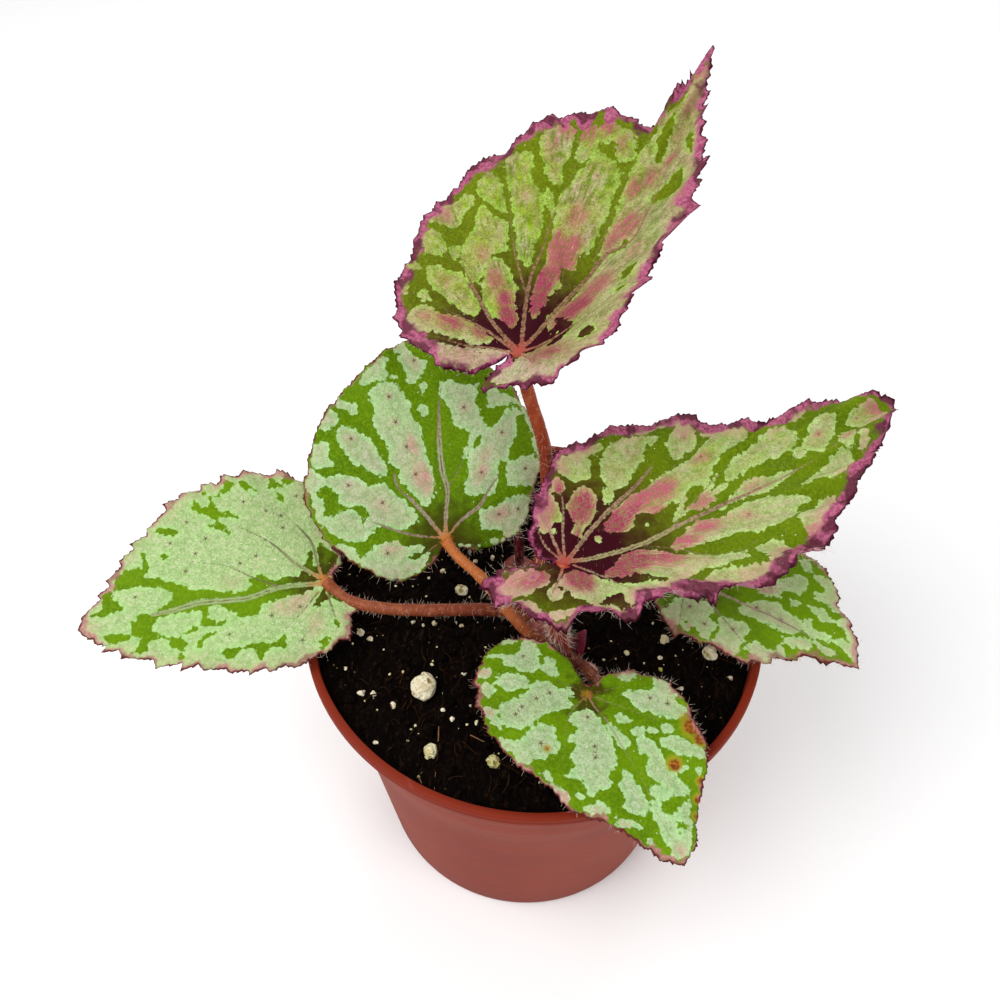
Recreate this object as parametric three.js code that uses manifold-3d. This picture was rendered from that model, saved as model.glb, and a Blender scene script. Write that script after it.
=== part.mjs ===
// A young rex begonia in a thin-walled round nursery pot.
// Millimetres, +Z up. The origin is the centre of the pot's flat underside.
// Six leaves on hairy stalks rise from one creeping crown, half sunk in the soil.

import * as THREE from 'three';
import { mergeVertices } from 'three/addons/utils/BufferGeometryUtils.js';
import Module from 'manifold-3d';

const wasm = await Module();
wasm.setup();

// Driving dimensions of the pot
const RIM_RADIUS = 51;
const RIM_HEIGHT = 81;
const RIM_WIDTH = 1.9;
const COLLAR_RADIUS = 50;
const COLLAR_HEIGHT = 6;
const BODY_TOP_RADIUS = 46.3;
const BASE_RADIUS = 37.2;
const WALL = 1.2;
const FLOOR = 1.8;
const POT_SIDES = 60;
const DRAIN_COUNT = 6;
const DRAIN_RADIUS = 3;
const DRAIN_RING = 24;
const DRAIN_SIDES = 12;
const EDGE_ROUND = 0.5;
const FOOT_ROUND = 1.8;
const INNER_ROUND = 2;
const SHOULDER = 1.2;
const COLLAR_FLARE = 0.3;
const LIP_HEIGHT = 1.9;

// Driving dimensions of what the pot holds
const GAP = 0.3;
const SOIL_HEIGHT = 78;
const SOIL_RELIEF = 0.6;
const SOIL_RINGS = 16;
const SOIL_INSET = 0.5;
const CLOD_RISE = 1.9;
const CLOD_DIP = 0.2;
const CALM_NEAR = 5;
const CALM_FAR = 14;
const GRAIN_CLEAR = 3;
const CROWN_FRONT = [6.2, -12.4];
const CROWN_BACK = [-3.2, 11.6];
const CROWN_RADIUS = 4.3;
const CROWN_DEPTH = 0.8;
const CROWN_FACETS = { cap: 4, around: 14, along: 12 };
const SCAR_SPACING = 3.3;
const SCAR_RISE = 0.05;
const BRACT_RADIUS = 1.7;
const BRACT_FLATNESS = 0.45;
const BRACT_SIDES = 8;
const SHOOT_FOOT = [-3.2, 12.6, 80];
const SHOOT_SIDES = 12;
const SHOOT_STALK = 2.5;
const SHOOT_FLATNESS = 0.62;
const SHOOT_BEND = 0.01;
const GRAIN_FLATNESS = 0.86;
const GRAIN_LUMP = 0.09;
const GRAIN_SEAT = 0.34;

// Driving dimensions of the leaves
const BLADE_THICKNESS = 0.8;
const FOLD_ROUND = 2;
const TOOTH_OUT = 0.6;
const TOOTH_IN = 0.4;
const TOOTH_LEAN = 0.3;
const TOOTH_UNEVEN = 0.2;
const TOOTH_FADE = 5;
const RIPPLE_POWER = 4;
const RIPPLE_START = 0.7;
const RIPPLE_REACH = 12;
const CLEAR_OVER_BLADE = 8;
const STALK_SIDES = 8;
const STALK_STEPS = 14;

// Each leaf: where its stalk joins the blade, how the blade is turned (heading of its
// midrib about +Z, pitch up from level, roll towards its left side, in degrees), its shape
// along and across the midrib, its margin, and its stalk from the blade down to the crown.
// Outlines are in the blade's own plane: x along the midrib, y to its left.
const LEAVES = [
  {
    name: 'top',
    at: [-4.7, 16.8, 140], heading: 56.6, pitch: 24.7, roll: 0,
    length: 79, arch: -2, bow: 4, foldLeft: 0.12, foldRight: 0.75,
    left: [[-2, 1.3], [-5, 3], [-8, 7], [-9.6, 14], [-8, 21.6], [-3.2, 26.8], [4, 30.4],
      [13, 32], [22, 33.2], [31.5, 30.2], [40.5, 27.4], [48, 23], [54, 18.2], [56.6, 9],
      [57.6, 3.2], [62, 2], [70, 0.9], [79, 0]],
    right: [[79, 0], [73, -2.4], [63.3, -6.8], [50.4, -13.4], [39, -17], [31, -17.4],
      [22, -17.6], [12, -18.8], [5, -19], [-1.5, -15.6], [-6.4, -11.2], [-8, -6], [-9, -2.2],
      [-7.2, 0.8], [-2.6, 0.8]],
    points: 144, tooth: 1.1, ripple: 1.1, waves: 15,
    colour: 0x8a9a55,
    stalkRadius: [1.35, 1.65],
    stalk: [[-4.7, 16.8, 139.6], [-2.9, 15.9, 131], [0.1, 15.6, 120], [1.8, 16.4, 111],
      [2.4, 15, 102], [1.9, 10.6, 94], [1.2, 6, 86.5], [0.8, 3.4, 79.6]],
  },
  {
    name: 'right',
    at: [5, -10.8, 110], heading: 28, pitch: 8.5, roll: 0,
    length: 81.3, arch: -1, bow: 5, foldLeft: 0.15, foldRight: 0.18,
    left: [[-2, 1.5], [-4.2, 3], [-3.6, 7.4], [-0.6, 12.6], [3.8, 17.8], [10.3, 22.4],
      [16.5, 23.3], [23, 23], [29.5, 21.4], [36, 19], [40.5, 17], [44.5, 12.4], [50, 9.8],
      [54.5, 7.8], [60, 8.2], [68, 5.8], [76, 2.8], [81.3, 0]],
    right: [[81.3, 0], [77, -4.4], [69, -9.6], [62, -13.8], [54, -18], [46, -22.4], [38, -25],
      [30, -25.6], [22, -24.8], [16.5, -20.4], [9.5, -19], [3, -17], [-4, -14.6], [-9.5, -11],
      [-13.8, -6.6], [-15.6, -1.4], [-16.4, 3.2], [-12, 3.8], [-6, 2.8], [-2.6, 1.2]],
    points: 144, tooth: 1.0, ripple: 1.7, waves: 17,
    colour: 0x7f9a52,
    stalkRadius: [1.5, 1.75],
    stalk: [[5, -10.8, 109.6], [4.1, -13.2, 103], [3.9, -14.3, 97], [4.7, -13.9, 90],
      [6.2, -12.4, 81]],
  },
  {
    name: 'round',
    at: [-19.2, 2.6, 100], heading: 103.5, pitch: 37.2, roll: -9,
    length: 44.1, arch: 1, bow: 0, foldLeft: 0.06, foldRight: 0,
    left: [[-1.8, 1.1], [-4.2, 3], [-6.4, 6.5], [-7.3, 10.4], [-6, 14.6], [-2.7, 19.4],
      [2, 24.1], [7.3, 27.2], [12.5, 28], [19, 26.7], [24.5, 24.8], [29, 22], [33, 18],
      [37.5, 12.5], [41.3, 6.7], [44.1, 0]],
    right: [[44.1, 0], [42.5, -6.3], [39, -13], [33, -18.8], [27.2, -21.8], [21.4, -24.2],
      [14.4, -24.8], [9, -22.4], [4, -20.4], [0, -17.5], [-2.3, -12.8], [-3.2, -7], [-2, -2.4]],
    points: 108, tooth: 0.35, ripple: 0.5, waves: 9,
    colour: 0x86b066,
    stalkRadius: [1.15, 1.5],
    stalk: [[-19.2, 2.5, 99.6], [-17.2, 0.3, 98], [-11.2, -4.4, 95.4], [-5, -9.4, 89.6],
      [-0.4, -11, 84.4], [4.6, -10.6, 79]],
  },
  {
    name: 'left',
    at: [-45.6, -1.4, 90], heading: -166.2, pitch: -2.2, roll: 18,
    length: 52.3, arch: 2, bow: 0, foldLeft: 0.05, foldRight: 0.05,
    left: [[-1.9, 1], [-4.6, 4.6], [-4.8, 8.6], [-3, 13], [1, 16], [7, 17.7], [13, 18.5],
      [19, 17.2], [26, 15], [35, 11.8], [43, 7.8], [48, 4.2], [52.3, 0]],
    right: [[52.3, 0], [49, -4.2], [45, -9.5], [40.5, -14], [37, -18], [31, -23], [26, -26],
      [19, -27.4], [12, -28], [6, -27], [1.4, -24], [-1.4, -17], [-3.2, -9], [-4, -4],
      [-2, -1.3]],
    points: 108, tooth: 0.8, ripple: 0.7, waves: 11,
    colour: 0x93b57f,
    stalkRadius: [1.3, 1.6],
    stalk: [[-45.6, -1.4, 89.6], [-41, -4.3, 87.6], [-35, -6.1, 87.2], [-25, -6.6, 87],
      [-15, -5.4, 85.8], [-8, -4, 83.8], [-3, -3, 81.4], [1.6, -2.6, 78.2]],
  },
  {
    name: 'front',
    at: [10, -28.5, 90], heading: -62.3, pitch: -9.5, roll: 0,
    length: 36.6, arch: 2, bow: 0, foldLeft: 0.05, foldRight: 0.05,
    left: [[-1.4, 1.8], [-2, 6.5], [-0.5, 11], [3, 14.6], [7.5, 16.5], [12, 17], [16.5, 16],
      [21, 14], [25.5, 11], [30, 7], [34, 3.6], [36.6, 0]],
    right: [[36.6, 0], [34, -2.6], [30, -5.4], [26, -8.4], [22, -11.8], [17.5, -15], [12, -17.6],
      [6.5, -20.2], [1, -21.4], [-5, -20.7], [-11, -18.7], [-15.2, -16], [-18.4, -12],
      [-19.6, -8], [-18, -4], [-14, -0.8], [-9, 0.9], [-2.8, 0.9]],
    points: 108, tooth: 0.5, ripple: 0.6, waves: 9,
    colour: 0x84ad5c,
    stalkRadius: [1.15, 1.45],
    stalk: [[10, -28.5, 89.6], [11.6, -29, 87.4], [13.9, -27, 85], [13.8, -22.8, 83.4],
      [11.4, -18.4, 82.2], [8.2, -13.8, 79.8]],
  },
  {
    name: 'back',
    at: [33.4, -1, 92], heading: -31.2, pitch: -3, roll: 0,
    length: 38.5, arch: 2, bow: 0, foldLeft: 0.05, foldRight: 0.05,
    left: [[-1.6, 1.4], [-5, 4.4], [-6, 9.5], [-3, 15], [3, 18.8], [10, 20.6], [16, 20.4],
      [21, 18.6], [26, 15.6], [29.2, 11.6], [32.4, 8.2], [36, 4.2], [38.5, 0]],
    right: [[38.5, 0], [33.5, -3.3], [28.5, -4.6], [24.8, -8.6], [21, -12.2], [15, -14.1],
      [8, -14.8], [2, -13.6], [-3, -10.5], [-5.2, -6.5], [-4.6, -2.6], [-2, -1.2]],
    points: 108, tooth: 0.6, ripple: 0.5, waves: 9,
    colour: 0x8ab26a,
    stalkRadius: [1.2, 1.5],
    stalk: [[33.4, -1, 91.6], [31, -0.8, 90.6], [24, -0.4, 88], [14, 0.6, 84.4],
      [6.4, 1.4, 81.4], [2, 1.8, 78.4]],
  },
];

// Perlite grains that lie on the soil: x, y and their mean radius
const PERLITE = [
  { name: 'perlite_lump', x: -23.7, y: -20.7, radius: 3 },
  { name: 'perlite_grain_1', x: -21.2, y: -35.4, radius: 1.6 },
  { name: 'perlite_grain_2', x: -8.6, y: -37.4, radius: 1.5 },
  { name: 'perlite_grain_3', x: 38.6, y: -10.8, radius: 1.6 },
  { name: 'perlite_grain_4', x: -16.5, y: 5.3, radius: 1.6 },
];

const plant = new THREE.Group();

// Materials, one call for each piece
function finish(colour, roughness) {
  return new THREE.MeshStandardMaterial({ color: colour, roughness, metalness: 0 });
}

function addPiece(name, geometry, material) {
  const mesh = new THREE.Mesh(geometry, material);
  mesh.name = name;
  plant.add(mesh);
  return mesh;
}

// Closed geometry to a solid and back, for cuts and joins
function toSolid(geometry) {
  const bare = geometry.clone();
  bare.deleteAttribute('normal');
  bare.deleteAttribute('uv');
  const merged = mergeVertices(bare, 1e-4);
  return new wasm.Manifold(new wasm.Mesh({
    numProp: 3,
    vertProperties: new Float32Array(merged.attributes.position.array),
    triVerts: new Uint32Array(merged.index.array),
  }));
}

function toGeometry(solid) {
  const mesh = solid.getMesh();
  const geometry = new THREE.BufferGeometry();
  geometry.setAttribute('position', new THREE.BufferAttribute(mesh.vertProperties, 3));
  geometry.setIndex(new THREE.BufferAttribute(mesh.triVerts, 1));
  return geometry;
}

// The largest separate lump of a solid, without the crumbs that a cut can leave
function largest(solid) {
  return solid.decompose().reduce((best, lump) => (lump.volume() > best.volume() ? lump : best));
}

// A solid of revolution about +Z from a profile of [radius, height] points
function turned(profile, sides) {
  const points = profile.map(([r, z]) => new THREE.Vector2(r, z));
  return new THREE.LatheGeometry(points, sides).rotateX(Math.PI / 2);
}

// Pot: a flat floor, a tapered wall, a shoulder up to the collar and a rolled rim
function potOutside() {
  const collarFoot = RIM_HEIGHT - COLLAR_HEIGHT;
  const lipFoot = RIM_HEIGHT - LIP_HEIGHT;
  return [
    [0, 0], [BASE_RADIUS - FOOT_ROUND, 0], [BASE_RADIUS - EDGE_ROUND, EDGE_ROUND],
    [BASE_RADIUS, FOOT_ROUND], [BODY_TOP_RADIUS, collarFoot - SHOULDER],
    [COLLAR_RADIUS - SHOULDER, collarFoot - EDGE_ROUND],
    [COLLAR_RADIUS, collarFoot + EDGE_ROUND],
    [COLLAR_RADIUS + COLLAR_FLARE, lipFoot - EDGE_ROUND],
    [RIM_RADIUS, lipFoot], [RIM_RADIUS, RIM_HEIGHT - EDGE_ROUND],
    [RIM_RADIUS - EDGE_ROUND, RIM_HEIGHT], [RIM_RADIUS - RIM_WIDTH + EDGE_ROUND, RIM_HEIGHT],
  ];
}

function potInside(clearance) {
  const collarFoot = RIM_HEIGHT - COLLAR_HEIGHT;
  const floorRadius = BASE_RADIUS - WALL;
  return [
    [RIM_RADIUS - RIM_WIDTH, RIM_HEIGHT - EDGE_ROUND],
    [COLLAR_RADIUS - WALL, collarFoot + 2 * EDGE_ROUND],
    [BODY_TOP_RADIUS - WALL, collarFoot - EDGE_ROUND],
    [floorRadius, FLOOR + INNER_ROUND], [floorRadius - INNER_ROUND, FLOOR],
  ].map(([r, z]) => [r - clearance, z + clearance]);
}

function makePot() {
  const profile = [...potOutside(), ...potInside(0), [0, FLOOR]];
  let pot = toSolid(turned(profile, POT_SIDES));
  for (let i = 0; i < DRAIN_COUNT; i += 1) {
    const angle = (2 * Math.PI * i) / DRAIN_COUNT;
    const drain = new THREE.CylinderGeometry(DRAIN_RADIUS, DRAIN_RADIUS, 3 * FLOOR, DRAIN_SIDES);
    drain.rotateX(Math.PI / 2);
    drain.translate(DRAIN_RING * Math.cos(angle), DRAIN_RING * Math.sin(angle), 0);
    pot = pot.subtract(toSolid(drain));
  }
  return toGeometry(pot);
}

// How far the soil may rise and fall at a place: level round the crown and the large grains
function soilFreedom(x, y) {
  const place = new THREE.Vector3(x, y, 0);
  const front = new THREE.Vector3(...CROWN_FRONT, 0);
  const crownLine = new THREE.Line3(front, new THREE.Vector3(...CROWN_BACK, 0));
  const nearest = crownLine.closestPointToPoint(place, true, new THREE.Vector3());
  const { smoothstep } = THREE.MathUtils;
  return PERLITE.reduce(
    (share, grain) => share * smoothstep(
      Math.hypot(x - grain.x, y - grain.y), grain.radius, grain.radius + GRAIN_CLEAR,
    ),
    smoothstep(nearest.distanceTo(place), CALM_NEAR, CALM_FAR),
  );
}

// Soil surface without its clods: low swells from three crossed waves
function soilTop(x, y) {
  const swell = Math.sin(0.41 * x + 0.6) * Math.cos(0.37 * y - 0.4)
    + 0.6 * Math.sin(0.83 * y + 0.29 * x) + 0.5 * Math.cos(0.71 * x - 0.66 * y + 1.1);
  return SOIL_HEIGHT + SOIL_RELIEF * swell * soilFreedom(x, y);
}

// Clods: a fixed random rise at a place, small at most places and high at a few
function clodRise(x, y) {
  const drawn = Math.sin(12.9898 * x + 78.233 * y) * 43758.5453;
  const share = (drawn - Math.floor(drawn)) ** 3;
  return (CLOD_RISE * share - CLOD_DIP) * soilFreedom(x, y);
}

// Soil: its top is a centre point with rings of 6, 12, 18 points and so on round it, so that
// the triangles are all about as large as one clod
function makeSoil(holes) {
  const inside = potInside(GAP);
  const [[topRadius, topHeight], [collarRadius, collarHeight]] = inside;
  const wallShare = (topHeight - SOIL_HEIGHT) / (topHeight - collarHeight);
  const edgeRadius = topRadius + (collarRadius - topRadius) * wallShare;
  const position = [0, 0, soilTop(0, 0)];
  const index = [];
  const ringStart = (ring) => (ring === 0 ? 0 : 1 + 3 * ring * (ring - 1));
  const addRing = (count, radius, heightAt) => {
    for (let i = 0; i < count; i += 1) {
      const angle = (2 * Math.PI * i) / count;
      const [x, y] = [radius * Math.cos(angle), radius * Math.sin(angle)];
      position.push(x, y, heightAt(x, y));
    }
  };
  for (let ring = 1; ring <= SOIL_RINGS; ring += 1) {
    const radius = ((edgeRadius - SOIL_INSET) * ring) / SOIL_RINGS;
    const clods = ring < SOIL_RINGS ? clodRise : () => 0;
    addRing(6 * ring, radius, (x, y) => soilTop(x, y) + clods(x, y));
    const outer = (k) => ringStart(ring) + (k % (6 * ring));
    const inner = (k) => ringStart(ring - 1) + (ring === 1 ? 0 : k % (6 * (ring - 1)));
    for (let sixth = 0; sixth < 6; sixth += 1) {
      for (let k = 0; k < ring; k += 1) {
        const a = sixth * ring + k;
        const b = sixth * (ring - 1) + k;
        index.push(inner(b), outer(a), outer(a + 1));
        if (k < ring - 1) index.push(inner(b), outer(a + 1), inner(b + 1));
      }
    }
  }

  const sides = 6 * SOIL_RINGS;
  const below = [[edgeRadius - EDGE_ROUND, SOIL_HEIGHT - SHOULDER], ...inside.slice(1)];
  let upper = ringStart(SOIL_RINGS);
  for (const [radius, height] of below) {
    const lower = position.length / 3;
    addRing(sides, radius, () => height);
    for (let i = 0; i < sides; i += 1) {
      const next = (i + 1) % sides;
      index.push(upper + i, lower + i, upper + next, upper + next, lower + i, lower + next);
    }
    upper = lower;
  }
  const middle = position.length / 3;
  position.push(0, 0, FLOOR + GAP);
  for (let i = 0; i < sides; i += 1) index.push(middle, upper + ((i + 1) % sides), upper + i);

  const geometry = new THREE.BufferGeometry();
  geometry.setAttribute('position', new THREE.Float32BufferAttribute(position, 3));
  geometry.setIndex(index);
  return holes.reduce((soil, hole) => soil.subtract(hole), toSolid(geometry));
}

// Crown: the creeping stem that all stalks grow from, ringed by old leaf scars
function crownStem(extra) {
  const [front, back] = [new THREE.Vector2(...CROWN_FRONT), new THREE.Vector2(...CROWN_BACK)];
  const run = back.clone().sub(front);
  const { cap, around, along } = CROWN_FACETS;
  const stem = new THREE.CapsuleGeometry(CROWN_RADIUS + extra, run.length(), cap, around, along);
  const position = stem.attributes.position;
  for (let i = 0; i < position.count; i += 1) {
    const ring = 1 + SCAR_RISE * Math.cos((2 * Math.PI * position.getY(i)) / SCAR_SPACING);
    position.setX(i, position.getX(i) * ring);
    position.setZ(i, position.getZ(i) * ring);
  }
  stem.rotateZ(run.angle() - Math.PI / 2);
  const middle = front.add(back).multiplyScalar(0.5);
  return toSolid(stem.translate(middle.x, middle.y, SOIL_HEIGHT - CROWN_DEPTH));
}

// Pointed bracts at the feet of the stalks: foot, turn about +Z, lean from upright, length
const BRACTS = [
  { at: [8.6, -12.2, 78.6], heading: 35, lean: 10, long: 8 },
  { at: [9, -14.2, 78.2], heading: -40, lean: 48, long: 6.5 },
  { at: [2.6, -12.6, 78.6], heading: -150, lean: 40, long: 5.5 },
  { at: [-3.6, 5.8, 78.6], heading: 165, lean: 32, long: 7 },
];

function bractSolid({ at, heading, lean, long }, extra) {
  const radius = BRACT_RADIUS + extra;
  const horn = new THREE.ConeGeometry(radius, long + 2 * extra, BRACT_SIDES).rotateX(Math.PI / 2);
  horn.scale(1, (BRACT_RADIUS * BRACT_FLATNESS + extra) / radius, 1);
  horn.rotateZ(Math.PI / 2);
  horn.translate(0, 0, long / 2);
  horn.rotateY(THREE.MathUtils.degToRad(lean));
  horn.rotateZ(THREE.MathUtils.degToRad(heading));
  return toSolid(horn.translate(...at));
}

function makeCrown(extra) {
  return BRACTS.reduce((crown, bract) => crown.add(bractSolid(bract, extra)), crownStem(extra));
}

// Young leaf: a dark folded spear on its own short stalk at the crown's back end
const SHOOT_PROFILE = [
  [0, -1], [1, -0.6], [1, 2.5], [1.9, 5.6], [1.6, 9.4], [0.7, 12.2], [0, 13.4],
];

function makeShoot() {
  const spear = turned(SHOOT_PROFILE, SHOOT_SIDES);
  const position = spear.attributes.position;
  for (let i = 0; i < position.count; i += 1) {
    const above = Math.max(0, position.getZ(i) - SHOOT_STALK);
    const flat = above > 0 ? SHOOT_FLATNESS : 1;
    position.setX(i, position.getX(i) * flat - SHOOT_BEND * above * above);
  }
  return toSolid(spear.translate(...SHOOT_FOOT));
}

// Perlite: a lumpy popped grain, its underside a little flat
function makeGrain(radius, extra) {
  const grain = new THREE.IcosahedronGeometry(radius + extra, 1);
  const position = grain.attributes.position;
  for (let i = 0; i < position.count; i += 1) {
    const [x, y, z] = [position.getX(i), position.getY(i), position.getZ(i)];
    const waves = Math.sin(2.3 * x + 1) * Math.cos(1.9 * y) + 0.8 * Math.sin(2.7 * z + x);
    const lump = 1 + GRAIN_LUMP * waves;
    position.setXYZ(i, x * lump, y * lump, z * lump * GRAIN_FLATNESS);
  }
  return grain;
}

function seatGrain(grain, { x, y, radius }) {
  return grain.translate(x, y, soilTop(x, y) + GRAIN_SEAT * radius);
}

// Height of a blade's upper face over its own plane, before the ripple of its margin
function bladeHeight(leaf, x, y) {
  const along = x / leaf.length;
  const arch = 4 * leaf.arch * (along > 0 ? along * (1 - along) : along);
  const midrib = along > 0 ? -4 * leaf.bow * along * (1 - along) : 0;
  const side = y - midrib;
  const fold = side > 0 ? leaf.foldLeft : leaf.foldRight;
  return arch + fold * (Math.hypot(side, FOLD_ROUND) - FOLD_ROUND);
}

// Margin of a blade as even points, from the notch round the left side, the tip and back
function smoothMargin(leaf) {
  const sides = [leaf.left, leaf.right].map(
    (side) => new THREE.SplineCurve(side.map(([x, y]) => new THREE.Vector2(x, y))),
  );
  const [leftLength, rightLength] = sides.map((side) => side.getLength());
  const leftCount = 4 * Math.round((leaf.points * leftLength) / (leftLength + rightLength) / 4);
  const leftPoints = sides[0].getSpacedPoints(leftCount);
  const rightPoints = sides[1].getSpacedPoints(leaf.points - leftCount - 1).slice(1);
  return { points: [...leftPoints, ...rightPoints], tip: leftCount };
}

// Every second point of the margin stands out as a tooth that leans to the tip
function toothedMargin(leaf, margin) {
  const { points, tip } = margin;
  const count = points.length;
  return points.map((point, i) => {
    const fromEnds = Math.min(i, count - 1 - i, Math.abs(i - tip));
    const fade = Math.min(1, fromEnds / TOOTH_FADE);
    const before = points[Math.max(0, i - 1)];
    const after = points[Math.min(count - 1, i + 1)];
    const run = after.clone().sub(before).normalize();
    const out = new THREE.Vector2(-run.y, run.x);
    const uneven = 1 - TOOTH_UNEVEN + TOOTH_UNEVEN * Math.sin(2.4 * i + leaf.length);
    const reach = leaf.tooth * fade * uneven * (i % 2 === 1 ? TOOTH_OUT : -TOOTH_IN);
    const lean = leaf.tooth * fade * (i % 2 === 1 ? TOOTH_LEAN : 0) * (i < tip ? 1 : -1);
    return point.clone().addScaledVector(out, reach).addScaledVector(run, lean);
  });
}

// Rings of a blade from the margin in to the stalk joint: share of the radius, and how many
// margin points one ring point stands for
const RINGS = [
  { share: 1, step: 1 }, { share: 0.86, step: 2 }, { share: 0.6, step: 2 }, { share: 0.3, step: 4 },
];

function bladeGeometry(leaf, rise, depth) {
  const margin = smoothMargin(leaf);
  const toothed = toothedMargin(leaf, margin);
  const count = margin.points.length;
  const vertices = [];
  const starts = [];
  for (const { share, step } of RINGS) {
    starts.push(vertices.length);
    for (let i = 0; i < count; i += step) {
      const from = share === 1 ? toothed[i] : margin.points[i];
      const x = share * from.x;
      const y = share * from.y;
      const wave = Math.sin((2 * Math.PI * leaf.waves * i) / count + RIPPLE_START);
      const free = share ** RIPPLE_POWER * Math.min(1, from.length() / RIPPLE_REACH);
      vertices.push([x, y, bladeHeight(leaf, x, y) + leaf.ripple * wave * free]);
    }
  }
  const centre = vertices.length;
  vertices.push([0, 0, bladeHeight(leaf, 0, 0)]);

  const face = [];
  for (let ring = 0; ring + 1 < RINGS.length; ring += 1) {
    const outer = { start: starts[ring], size: count / RINGS[ring].step };
    const inner = { start: starts[ring + 1], size: count / RINGS[ring + 1].step };
    const split = outer.size / inner.size;
    for (let i = 0; i < inner.size; i += 1) {
      const a = inner.start + i;
      const b = inner.start + ((i + 1) % inner.size);
      const edge = [];
      for (let k = 0; k <= split; k += 1) edge.push(outer.start + ((i * split + k) % outer.size));
      for (let k = 0; k < split; k += 1) face.push([a, edge[k], edge[k + 1]]);
      face.push([a, edge[split], b]);
    }
  }
  const last = RINGS.length - 1;
  const innerSize = count / RINGS[last].step;
  for (let i = 0; i < innerSize; i += 1) {
    face.push([centre, starts[last] + i, starts[last] + ((i + 1) % innerSize)]);
  }

  // The margin runs clockwise seen from above, so the upper face takes each triangle turned
  const size = vertices.length;
  const position = [
    ...vertices.flatMap(([x, y, z]) => [x, y, z + rise]),
    ...vertices.flatMap(([x, y, z]) => [x, y, z - depth]),
  ];
  const index = [];
  for (const [a, b, c] of face) index.push(a, c, b, a + size, b + size, c + size);
  for (let i = 0; i < count; i += 1) {
    const next = (i + 1) % count;
    index.push(i, next, i + size, next, next + size, i + size);
  }
  const geometry = new THREE.BufferGeometry();
  geometry.setAttribute('position', new THREE.Float32BufferAttribute(position, 3));
  geometry.setIndex(index);
  return geometry;
}

function placeBlade(object, leaf) {
  const { degToRad } = THREE.MathUtils;
  object.rotation.set(-degToRad(leaf.roll), -degToRad(leaf.pitch), degToRad(leaf.heading), 'ZYX');
  object.position.set(...leaf.at);
  object.updateMatrixWorld(true);
  return object;
}

// Stalk: a round tube along its curve, thicker towards the crown
function stalkSolid(leaf) {
  const path = new THREE.CatmullRomCurve3(leaf.stalk.map((point) => new THREE.Vector3(...point)));
  const [thin, thick] = leaf.stalkRadius;
  const section = new THREE.Shape();
  for (let i = 0; i < STALK_SIDES; i += 1) {
    const angle = (2 * Math.PI * i) / STALK_SIDES;
    const [x, y] = [thin * Math.cos(angle), thin * Math.sin(angle)];
    if (i === 0) section.moveTo(x, y);
    else section.lineTo(x, y);
  }
  section.closePath();
  const tube = new THREE.ExtrudeGeometry(section, {
    steps: STALK_STEPS, extrudePath: path, curveSegments: 1, bevelEnabled: false,
  });
  const axis = path.getSpacedPoints(STALK_STEPS);
  const position = tube.attributes.position;
  const point = new THREE.Vector3();
  for (let i = 0; i < position.count; i += 1) {
    point.fromBufferAttribute(position, i);
    let nearest = 0;
    axis.forEach((centre, k) => {
      if (centre.distanceTo(point) < axis[nearest].distanceTo(point)) nearest = k;
    });
    const share = nearest / STALK_STEPS;
    point.sub(axis[nearest]).multiplyScalar(1 + (thick / thin - 1) * share).add(axis[nearest]);
    position.setXYZ(i, point.x, point.y, point.z);
  }
  return toSolid(tube);
}

// A stalk stops just under its blade and just outside the crown
const crownSpace = makeCrown(GAP);

function makeStalk(leaf) {
  const over = bladeGeometry(leaf, CLEAR_OVER_BLADE, BLADE_THICKNESS + GAP);
  const holder = placeBlade(new THREE.Mesh(over), leaf);
  over.applyMatrix4(holder.matrixWorld);
  return toGeometry(largest(stalkSolid(leaf).subtract(toSolid(over)).subtract(crownSpace)));
}

// Assembly
addPiece('pot', makePot(), finish(0x9a4e44, 0.55));
const grainHollows = PERLITE.map(
  (grain) => toSolid(seatGrain(makeGrain(grain.radius, GAP), grain)),
);
const soil = makeSoil([crownSpace, ...grainHollows]);
addPiece('soil', toGeometry(soil), finish(0x1c120c, 1));
addPiece('crown', toGeometry(makeCrown(0)), finish(0x7c2f28, 0.6));
const youngLeaf = largest(makeShoot().subtract(crownSpace));
addPiece('young_leaf', toGeometry(youngLeaf), finish(0x5c1420, 0.55));
for (const grain of PERLITE) {
  addPiece(grain.name, seatGrain(makeGrain(grain.radius, 0), grain), finish(0xe6dfc2, 0.9));
}
for (const leaf of LEAVES) {
  const blade = addPiece(`blade_${leaf.name}`, bladeGeometry(leaf, 0, BLADE_THICKNESS),
    finish(leaf.colour, 0.5));
  placeBlade(blade, leaf);
  addPiece(`stalk_${leaf.name}`, makeStalk(leaf), finish(0x9a4a2c, 0.5));
}

export default plant;
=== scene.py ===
"""Looks of a potted rex begonia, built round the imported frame. Metres, +Z up."""

import math
from types import SimpleNamespace

import bpy
import numpy as np
from mathutils import Matrix, Vector
from mathutils.bvhtree import BVHTree
from mathutils.geometry import delaunay_2d_cdt


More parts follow.
